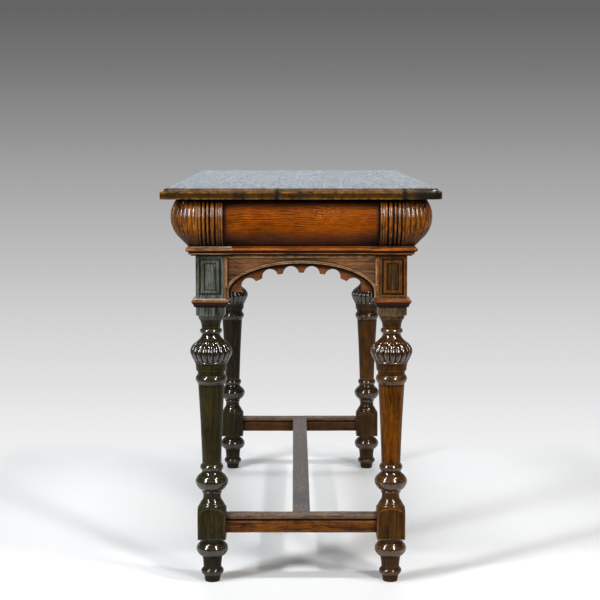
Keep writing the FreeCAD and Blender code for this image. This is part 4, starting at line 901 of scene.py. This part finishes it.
def fringe_outline(span):
    """The board's outline from its right foot over the arch and back along the cusps."""
    half = span - ARCH_EDGE
    outer = (half - REBATE, RISE - REBATE)
    cusps = (half - CUSP_SIDE, RISE - CUSP_CROWN)
    centres = (half - BITE_SIDE, RISE - BITE_CROWN)
    run = centres[0] - BITE_END
    count = round(run / BITE_PITCH + 0.5)
    along = [run * (n - 0.5) / (count - 0.5) for n in range(1, count + 1)]
    bites = [(-a, centres[1] * math.sqrt(1 - (a / centres[0]) ** 2)) for a in reversed(along)]
    bites += [(-a, level) for a, level in reversed(bites)]
    outline = [(outer[0] * math.cos(math.pi * k / 90), outer[1] * math.sin(math.pi * k / 90)) for k in range(91)]
    outline += [(-run - BITE, 0), (-run - BITE, bites[0][1] * 0.5)]
    for number, (x, z) in enumerate(bites):
        arc = [(x + BITE * math.cos(a), z + BITE * math.sin(a))
               for a in (math.pi * (1.5 - 2 * k / 120) for k in range(120))]
        free = [p for p in arc if (p[0] / cusps[0]) ** 2 + (p[1] / cusps[1]) ** 2 > 1 and p[1] > 0
                and not (p[1] < bites[0][1] and abs(p[0]) < run + BITE - 0.01)]
        if number:
            start, end = outline[-1][0], free[0][0]
            for share in (0.2, 0.4, 0.6, 0.8):
                tip = start + (end - start) * share
                outline.append((tip, cusps[1] * math.sqrt(1 - (tip / cusps[0]) ** 2)))
        outline += free
    outline += [(run + BITE, bites[0][1] * 0.5), (run + BITE, 0)]
    return outline


def board_from_outline(outline, face, back, ease):
    """Points and faces of a flat board with eased edges. Points are (along, outwards, height)."""
    count = len(outline)
    inset = []
    for index, point in enumerate(outline):
        before, after = Vector(outline[index - 1]), Vector(outline[(index + 1) % count])
        tangent = (after - before).normalized()
        inset.append((point[0] - tangent.y * ease, point[1] + tangent.x * ease))
    points = [(x, face, SPRING + z) for x, z in inset] + [(x, face - ease, SPRING + z) for x, z in outline]
    points += [(x, back + ease, SPRING + z) for x, z in outline] + [(x, back, SPRING + z) for x, z in inset]
    return points, skin(4, count)


for index, (side, (span, grain)) in enumerate(SIDES.items()):
    red = polished_oak(f"fringe_oak_{side}", grain, (0.03, 0.009, 0.002), (0.2, 0.055, 0.008), (0.26, 0.1, 0.04),
                       pith=(0.35 * index, 0.09, 0.05), wear=0.3, shine=0.32, coat=0, gloss=0.15)
    shape, faces = board_from_outline(fringe_outline(span), FRINGE_FACE, BACK, FRINGE_EASE)
    fringe = solid(f"cusped_fringe_{side}", side_spots(shape, side), faces, red)
    carried(fringe, node_name(side, "fringe"))

# ----------------------------------------------------------
# Mouldings under the frieze
# An oak moulding with a round nose, a hollow and a bead runs round the table. It breaks forward round
# each post and is mitred at every turn.
# ----------------------------------------------------------

NOSE = eased([(-1.5, 633.5), (8.2, 633.5), (8.2, 635.8), (11.4, 636), (12.5, 636.7), (12.8, 637.4), (12.4, 638.4),
              (12.2, 639), (12.6, 640.2), (13.8, 641.3), (15.4, 641.8), (17.2, 642.6), (18.2, 644.3), (18.3, 645.6),
              (17.8, 647.3), (16.6, 648.6), (15.4, 649), (15.2, 649.6), (13.2, 651.4), (-1.5, 651.5)], 0.35)
# The crests of the nose and the bead are painted bright: rubbed wood and a painted highlight.
NOSE_ZONES = ((0.6433, 0.6476, (0.72, 0.15, 0.005)), (0.6364, 0.6384, (0.45, 0.13, 0.01)))
# The front left one is painted paler still, as a brighter painted highlight.
FRONT_LEFT_NOSE_HIGHLIGHT = {"front_left": ((0.6433, 0.6476, (0.85, 0.42, 0.17)), (0.6364, 0.6384, (0.6, 0.32, 0.15)))}


def nose_painted_shadow(out, height, from_end):
    """Painted shadow under the nose, in the hollow and under the bead."""
    return 1.05 if 641.5 < height < 643 or height < 636.2 else 0


for index, (corner, (across, along)) in enumerate(CORNERS.items()):
    # The zones paint the crests bright, as rubbed wood and a highlight, and the top slope a painted sheen.
    warm = moulding_oak(f"corner_moulding_oak_{corner}", "x", (0.2, 0.08, 0.02), (0.25 * index, 0.1, 0.02 * index),
                        (*FRONT_LEFT_NOSE_HIGHLIGHT.get(corner, NOSE_ZONES), (0.6487, 0.66, UPWARD_PAINTED_SHEEN[corner])))
    h = HALF_POST
    turns = ((h, -FACE, 1, -1), (h, -h, 1, -1), (-h, -h, -1, -1), (-h, h, -1, 1), (-FACE, h, -1, 1))
    path = [((across * (LEG_X - x), along * (LEG_Y - y)), (-across * lx, -along * ly)) for x, y, lx, ly in turns]
    carried(moulding(f"moulding_break_{corner}", NOSE, path, warm, black=nose_painted_shadow), f"corner_moulding_{corner}")


def straight_run(span, side):
    """Path of a piece between two breaks, mitred at both ends."""
    hand = 1 if side in ("end_rear", "side_right") else -1
    if side.startswith("end"):
        return [((end * span, hand * (LEG_Y + FACE)), (-end, hand)) for end in (-1, 1)]
    return [((hand * (LEG_X + FACE), end * span), (hand, -end)) for end in (-1, 1)]


for index, (side, (span, grain)) in enumerate(SIDES.items()):
    warm = moulding_oak(f"moulding_oak_{side}", grain, (0.22, 0.08, 0.02), (0.15 * index, 0.08, 0.06), NOSE_ZONES)
    carried(moulding(f"moulding_run_{side}", NOSE, straight_run(span, side), warm, black=nose_painted_shadow),
            node_name(side, "moulding"))

# ----------------------------------------------------------
# Frieze boards
# Thick oak boards, planed to a round bulge over a slope, with their flat grain along the table's sides.
# The broad grain shows best here, under the brightest polish.
# ----------------------------------------------------------

FRIEZE_FOOT, FRIEZE_HEAD, BULGE_LEVEL, BULGE = 651.5, 741, 706, 54
PROJECTION = 46.7


def bulge_line(face, steps=26):
    """The frieze's outline from its foot to its head: (outwards, height, how far it leans out, and up)."""
    centre = face + PROJECTION - BULGE
    half_root = math.sqrt(0.5)
    toe = centre + BULGE / half_root - (BULGE_LEVEL - FRIEZE_FOOT)
    line = []
    slope_head = (centre + BULGE * half_root, BULGE_LEVEL - BULGE * half_root)
    for step in range(8):
        t = step / 8
        line.append((toe + (slope_head[0] - toe) * t, FRIEZE_FOOT + (slope_head[1] - FRIEZE_FOOT) * t,
                     half_root, -half_root))
    last = math.asin((FRIEZE_HEAD - BULGE_LEVEL) / BULGE)
    for step in range(steps + 1):
        turn = -math.pi / 4 + (last + math.pi / 4) * step / steps
        line.append((centre + BULGE * math.cos(turn), BULGE_LEVEL + BULGE * math.sin(turn),
                     math.cos(turn), math.sin(turn)))
    return line


# How far painted shade reaches up from the moulding, down from the top and in from the carved blocks.
SHADE_UP, SHADE_DOWN, SHADE_IN, WIDE_SHADE_IN = 34, 23, 9, 50


def frieze_painted_shade(out, height, from_end):
    """Painted shade under the top, over the moulding and beside the carved blocks."""
    low, high = (FRIEZE_FOOT + SHADE_UP - height) / SHADE_UP, (height - FRIEZE_HEAD + SHADE_DOWN) / 16
    end, wide_shade = (SHADE_IN - from_end) / SHADE_IN, (WIDE_SHADE_IN - from_end) / WIDE_SHADE_IN
    return min(1.05, 1.1 * max(0, low) + max(0, high) + 0.75 * max(0, end) + 0.3 * max(0, wide_shade))


def scratched(material):
    """Fine scratches down to pale wood, right of the middle of the front board."""
    tree = material.node_tree
    colour = tree.nodes["Principled BSDF"].inputs["Base Color"]
    place = add_node(tree, "ShaderNodeTexCoord").outputs["Object"]
    slanted = add_node(tree, "ShaderNodeMapping", Vector=place, Rotation=(0, 0.5, 0), Scale=(1, 1, 5)).outputs[0]
    marks = add_node(tree, "ShaderNodeTexNoise", Scale=230.0, Detail=3.0, Vector=slanted).outputs["Fac"]
    flattened = add_node(tree, "ShaderNodeMapping", Vector=place, Scale=(1, 1, 3)).outputs[0]
    away = add_node(tree, "ShaderNodeVectorMath", {"operation": "DISTANCE"}, i0=flattened,
                    i1=(0.045, -0.577, 2.145)).outputs["Value"]
    pale = maths(tree, "MULTIPLY", between(tree, marks, 0.58, 0.64), between(tree, away, 0.01, 0.055, 0.6, 0.0))
    tree.links.new(blended(tree, pale, colour.links[0].from_socket, (0.75, 0.27, 0.07, 1)), colour)


FRIEZE = [(0, FRIEZE_FOOT)] + [(out, z) for out, z, *lean in bulge_line(0)] + [(0, FRIEZE_HEAD)]
for index, (side, (span, grain)) in enumerate(SIDES.items()):
    bright = polished_oak(f"frieze_oak_{side}", grain, (0.03, 0.006, 0.0004), (0.39, 0.082, 0.002), (0.4, 0.14, 0.03),
                          pith=(0.3 * index, 0.535, -0.66), ring_width=0.0038, waver=2.0, ring_share=0.55,
                          streak_width=0.0015, patchiness=0.35, wear=0.4, shine=0.24, coat=0, gloss=0.07,
                          dull_pores=0.1)
    if side == "end_front":
        scratched(bright)
    path = [(spot, (0, lean[1]) if grain == "x" else (lean[0], 0))
            for spot, lean in straight_run(span - 0.3, side)]
    board = moulding(f"bulged_board_{side}", eased(FRIEZE, 0.5, 40), path, bright, black=frieze_painted_shade)
    carried(board, node_name(side, "frieze_board"))

# ----------------------------------------------------------
# Carved frieze corners
# Oak blocks round the heads of the posts. Their faces are carved with upright reeds and ribs, and a leaf
# of eight lobes is wrapped round the corner under a small scallop.
# ----------------------------------------------------------

CORNER_CENTRE = HALF_POST + PROJECTION - BULGE
# Ribs from the joint outwards: where each starts and ends. Everything between them is cut away.
RIBS = ((0.9, 5), (5.2, 9.4), (9.6, 13.9), (15.7, 24.4), (26.4, 31.2), (33.2, 39.6), (40.6, 46.6))
RIB_HEAD = 737.5
GROOVE = 3.2
LEAF_LOBES = 8
SCALLOP_HALF, SCALLOP_DROP = 0.12, 14


def rib_depth(distance, height):
    """How deep the carving goes on the straight part, at a distance from the joint."""
    deepest = GROOVE + max(0, (664 - height) * 0.08)
    for start, end in RIBS:
        middle, wide = (start + end) / 2, (end - start) / 2
        tip = wide * 1.5
        above = height - (RIB_HEAD - tip)
        if above > 0:
            wide *= math.sqrt(max(0, 1 - (above / tip) ** 2))
        off = abs(distance - middle)
        if off < wide:
            full = 1.7 if end < 15 else GROOVE
            return full * (1 - math.sqrt(1 - (off / wide) ** 2))
    return min(deepest, 1.6) if distance < 14 and height < RIB_HEAD - 4 else deepest


def leaf_depth(turn, height):
    """How deep the carving goes on the round corner. Turn goes from 0 to 1 round it."""
    off_middle = abs(turn - 0.5)
    drop = (FRIEZE_HEAD - height) / SCALLOP_DROP
    ring = math.hypot(off_middle / SCALLOP_HALF, drop)
    if ring < 1:
        return 0.3 + 1.2 * math.exp(-((ring - 0.62) / 0.07) ** 2) + (1.6 if ring > 0.92 else 0)
    if ring < 1.1:
        return 2.4
    share = abs(turn * LEAF_LOBES % 1 - 0.5) * 2
    cut = 1.5 * min(1, 0.35 + (height - FRIEZE_FOOT) / 60)
    vein = 0.12 * math.exp(-(share / 0.12) ** 2)
    return cut * (1 - math.sqrt(max(0, 1 - share ** 2))) + vein


def corner_shape():
    """Points and faces of a carved block at the front left, about its own leg."""
    flat_steps, round_steps = 105, 180
    straight = HALF_POST + CORNER_CENTRE
    columns = [("front", straight * step / flat_steps) for step in range(flat_steps)]
    columns += [("round", step / round_steps) for step in range(round_steps + 1)]
    columns += [("left", straight - straight * step / flat_steps) for step in range(1, flat_steps + 1)]
    line = bulge_line(HALF_POST, 46)
    points, shade_and_dirt = [], []
    for kind, value in columns:
        for out, z, lean_out, lean_up in line:
            depth = leaf_depth(value, z) if kind == "round" else rib_depth(value, z)
            if kind != "round" and value < 0.8:
                depth += 0.8 - value
            # Painted shade in the cuts, at the foot over the moulding and under the top.
            corner_end_shade = max(0, (FRIEZE_FOOT + 36 - z) / 34) + max(0, (z - 728) / 9)
            shade_and_dirt.append(min(1.1, 1.1 * min(1, max(0, depth - 0.25) / 1.3) + corner_end_shade))
            reach = out - depth * lean_out
            level = min(max(z - depth * lean_up, FRIEZE_FOOT), FRIEZE_HEAD)
            if kind == "front":
                points.append((HALF_POST - value, -reach, level))
            elif kind == "left":
                points.append((-reach, HALF_POST - value, level))
            else:
                turn = math.pi / 2 * value
                radius = reach - CORNER_CENTRE
                points.append((-CORNER_CENTRE - radius * math.sin(turn), -CORNER_CENTRE - radius * math.cos(turn),
                               level))
        if kind == "front":
            inner = (HALF_POST - value, -HALF_POST + 0.5)
        elif kind == "left":
            inner = (-HALF_POST + 0.5, HALF_POST - value)
        else:
            inner = (-CORNER_CENTRE - min(0.5, value) * 2 * (HALF_POST - 0.5 - CORNER_CENTRE),
                     -CORNER_CENTRE - min(0.5, 1 - value) * 2 * (HALF_POST - 0.5 - CORNER_CENTRE))
        points += [(*inner, FRIEZE_HEAD), (*inner, FRIEZE_FOOT)]
        shade_and_dirt += [0, 0]
    return points, skin(len(columns), len(line) + 2, turned=True), shade_and_dirt


corner_points, corner_faces, corner_shade = corner_shape()
for index, (corner, (across, along)) in enumerate(CORNERS.items()):
    carved_oak = polished_oak(f"carved_oak_{corner}", "z", (0.012, 0.003, 0.0005), (0.42, 0.12, 0.003),
                              (0.36, 0.17, 0.06), pith=(0.2 * index, 0.2, 0.1), wear=0.3, shine=0.3, coat=0.06,
                              coat_roughness=0.17, gloss=0.06, shiny=((0.7, 0.745, 0.5),), feather=0.012)
    placed = [(across * (LEG_X - x), along * (LEG_Y - y), z) for x, y, z in corner_points]
    carved = solid(f"carved_corner_{corner}", placed, corner_faces, carved_oak, sharp=60, shade_and_dirt=corner_shade)
    carried(carved, f"frieze_corner_{corner}")

# ----------------------------------------------------------
# Top
# Three oak boards glued edge to edge. All four edges are moulded with a step and a quarter round, and are
# rubbed and chipped. The seams have opened to fine dark lines.
# ----------------------------------------------------------

HALF_WIDTH, HALF_LENGTH = 260, 600
UNDERSIDE = 741
EDGE_BASE = 30
SEAMS = (-45, 188)
SEAM_GAP = 0.25
WORN_BAND = 15
# From the underside round the moulded edge to the surface: distance inside the edge, height.
EDGE = ((30, 741), (1.2, 741), (0.4, 741.3), (0.05, 742), (0, 745), (0, 751), (0.1, 754.4), (0.5, 755.2),
        (1.3, 755.5), (5.6, 755.6), (6, 755.9), (6, 756.9), (6.3, 757.6), (7.2, 759.2), (8.9, 760.8),
        (11.2, 761.7), (14.4, 762), (30, 762))


def edge_wear(x, y, z):
    """Bruises on the edges, and the corner that is worn away."""
    worn = max(0, noise.noise((x / 23, y / 23, z / 9)) - 0.22) * 1.6
    corner = max(0, 1 - math.hypot(x - HALF_WIDTH, y + HALF_LENGTH) / 26)
    return min(worn, 0.9), corner


def edge_grime(x, y, z):
    """Black dirt on the moulded edge, in patches and at the worn corner."""
    if z > 761 or min(HALF_WIDTH - abs(x), HALF_LENGTH - abs(y)) > WORN_BAND:
        return 0
    return min(1, 1.5 * edge_wear(x, y, z)[1] + 1.6 * max(0, noise.noise((x / 40, y / 40, 2.5)) - 0.1))


def board_points(points):
    """The edge of the top, worn."""
    moved = []
    for x, y, z in points:
        near_x, near_y = HALF_WIDTH - abs(x), HALF_LENGTH - abs(y)
        if min(near_x, near_y) < WORN_BAND:
            worn, corner = edge_wear(x, y, z)
            arris = 1 if z > 753 and min(near_x, near_y) < 1 or z < 742.5 else 0.25
            inwards = worn * arris
            if near_x < WORN_BAND:
                x -= math.copysign(inwards, x)
            if near_y < WORN_BAND:
                y -= math.copysign(inwards, y)
            if corner:
                x -= corner ** 2 * 7
                y += corner ** 2 * 7
                z -= corner * 3.4 * max(0, (z - UNDERSIDE) / 21)
        moved.append((x, y, z))
    return moved


def top_board(low, high):
    """Points and faces of one board between two lines across the table."""
    points, faces = [], []
    rows = len(EDGE)
    ends = []
    corner_low, corner_high = low <= -HALF_WIDTH, high >= HALF_WIDTH
    start_x = low + EDGE_BASE if corner_low else low
    end_x = high - EDGE_BASE if corner_high else high
    middle = HALF_LENGTH - EDGE_BASE
    if corner_low:
        strips = [[((high, -middle), (0, -1)), ((start_x, -middle), (-1, -1)), ((start_x, middle), (-1, 1)),
                   ((high, middle), (0, 1))]]
    elif corner_high:
        strips = [[((low, middle), (0, 1)), ((end_x, middle), (1, 1)), ((end_x, -middle), (1, -1)),
                   ((low, -middle), (0, -1))]]
    else:
        strips = [[((high, -middle), (0, -1)), ((low, -middle), (0, -1))],
                  [((low, middle), (0, 1)), ((high, middle), (0, 1))]]
    for strip in strips:
        first = len(points)
        path = stations(strip, 6)
        for spot, lean in path:
            for inset, z in EDGE:
                out = EDGE_BASE - inset
                points.append((spot.x + lean.x * out, spot.y + lean.y * out, z))
        for place in range(len(path) - 1):
            for row in range(rows - 1):
                here, there = first + place * rows, first + (place + 1) * rows
                faces.append((here + row, there + row, there + row + 1, here + row + 1))
        ends.append((first, first + (len(path) - 1) * rows))
    under_loop = [point for first, last in ends for point in range(first, last + 1, rows)]
    faces += [tuple(point + rows - 1 for point in under_loop), tuple(under_loop)]
    joints = ends if len(ends) == 1 else [(ends[0][1], ends[1][0]), (ends[0][0], ends[1][1])]
    faces += [(*range(up, up + rows), *range(down + rows - 1, down - 1, -1)) for up, down in joints]
    return board_points(points), faces


# Each board's name, its two sides and where its rings centre.
TOP_BOARDS = (("left", -HALF_WIDTH, SEAMS[0], (0.1, 0.31, 0.2)), ("middle", SEAMS[0], SEAMS[1], (0.6, 0.12, 0.45)),
              ("right", SEAMS[1], HALF_WIDTH, (0.3, 0.2, 0.33)))
for name, low, high, pith in TOP_BOARDS:
    # The zones darken the face of the edge and paint the ledge above it pale, as a painted reflection of the light
    # above.
    wood = polished_oak(f"top_oak_{name}", "y", (0.005, 0.0025, 0.001), (0.05, 0.02, 0.003), (0.33, 0.14, 0.012),
                        pith=pith, ring_width=0.007, patchiness=0.6, wear=0.6, shine=0.2, coat=0, gloss=0.08,
                        coat_roughness=0.16, dull_pores=0.35, grain_depth=1.5,
                        zones=((0.7415, 0.754, (0.032, 0.013, 0.002)), (0.7559, 0.758, (0.34, 0.24, 0.17))),
                        shiny=((0.7545, 0.8, 0.4), (0.7605, 0.8, 0.62)), feather=0.0004, open_pores=0.9)
    shape, faces = top_board(low if low == -HALF_WIDTH else low + SEAM_GAP,
                             high if high == HALF_WIDTH else high - SEAM_GAP)
    board = solid(f"moulded_top_{name}", shape, faces, wood, shade_and_dirt=[edge_grime(*point) for point in shape])
    for vertex, rubbed, black in zip(board.data.vertices, board.data.attributes["edge"].data,
                                     board.data.attributes["hollow"].data):
        if vertex.co.z > 0.7615:
            rubbed.value = black.value = 0
        elif min(abs(vertex.co.x - seam * MM) for seam in SEAMS) < 0.0004:
            rubbed.value, black.value = 0, 1
    carried(board, f"top_board_{name}")

# ----------------------------------------------------------
# Fixings of the top
# Oak buttons reach into the grooves of the rails and are screwed up into the top with steel wood screws.
# The solids stay as they are.
# ----------------------------------------------------------

finished("top_buttons", polished_oak("button_oak", "x", (0.06, 0.03, 0.013), (0.2, 0.12, 0.06), (0.25, 0.15, 0.08),
                                     grain_depth=2, wear=0.2, shine=0.6, coat=0))
steel = bpy.data.materials.new("screw_steel")
steel.use_nodes = True
tree = steel.node_tree
place = add_node(tree, "ShaderNodeTexCoord").outputs["Object"]
spots = add_node(tree, "ShaderNodeTexNoise", Scale=900.0, Detail=4.0, Vector=place)
rusty = between(tree, spots.outputs["Fac"], 0.45, 0.62)
for label, source in (("Base Color", blended(tree, rusty, (0.32, 0.31, 0.3, 1), (0.11, 0.05, 0.02, 1))),
                      ("Roughness", between(tree, rusty, 0, 1, 0.35, 0.75)),
                      ("Metallic", between(tree, rusty, 0, 1, 1, 0.1))):
    tree.links.new(source, tree.nodes["Principled BSDF"].inputs[label])
finished("top_screws", steel)
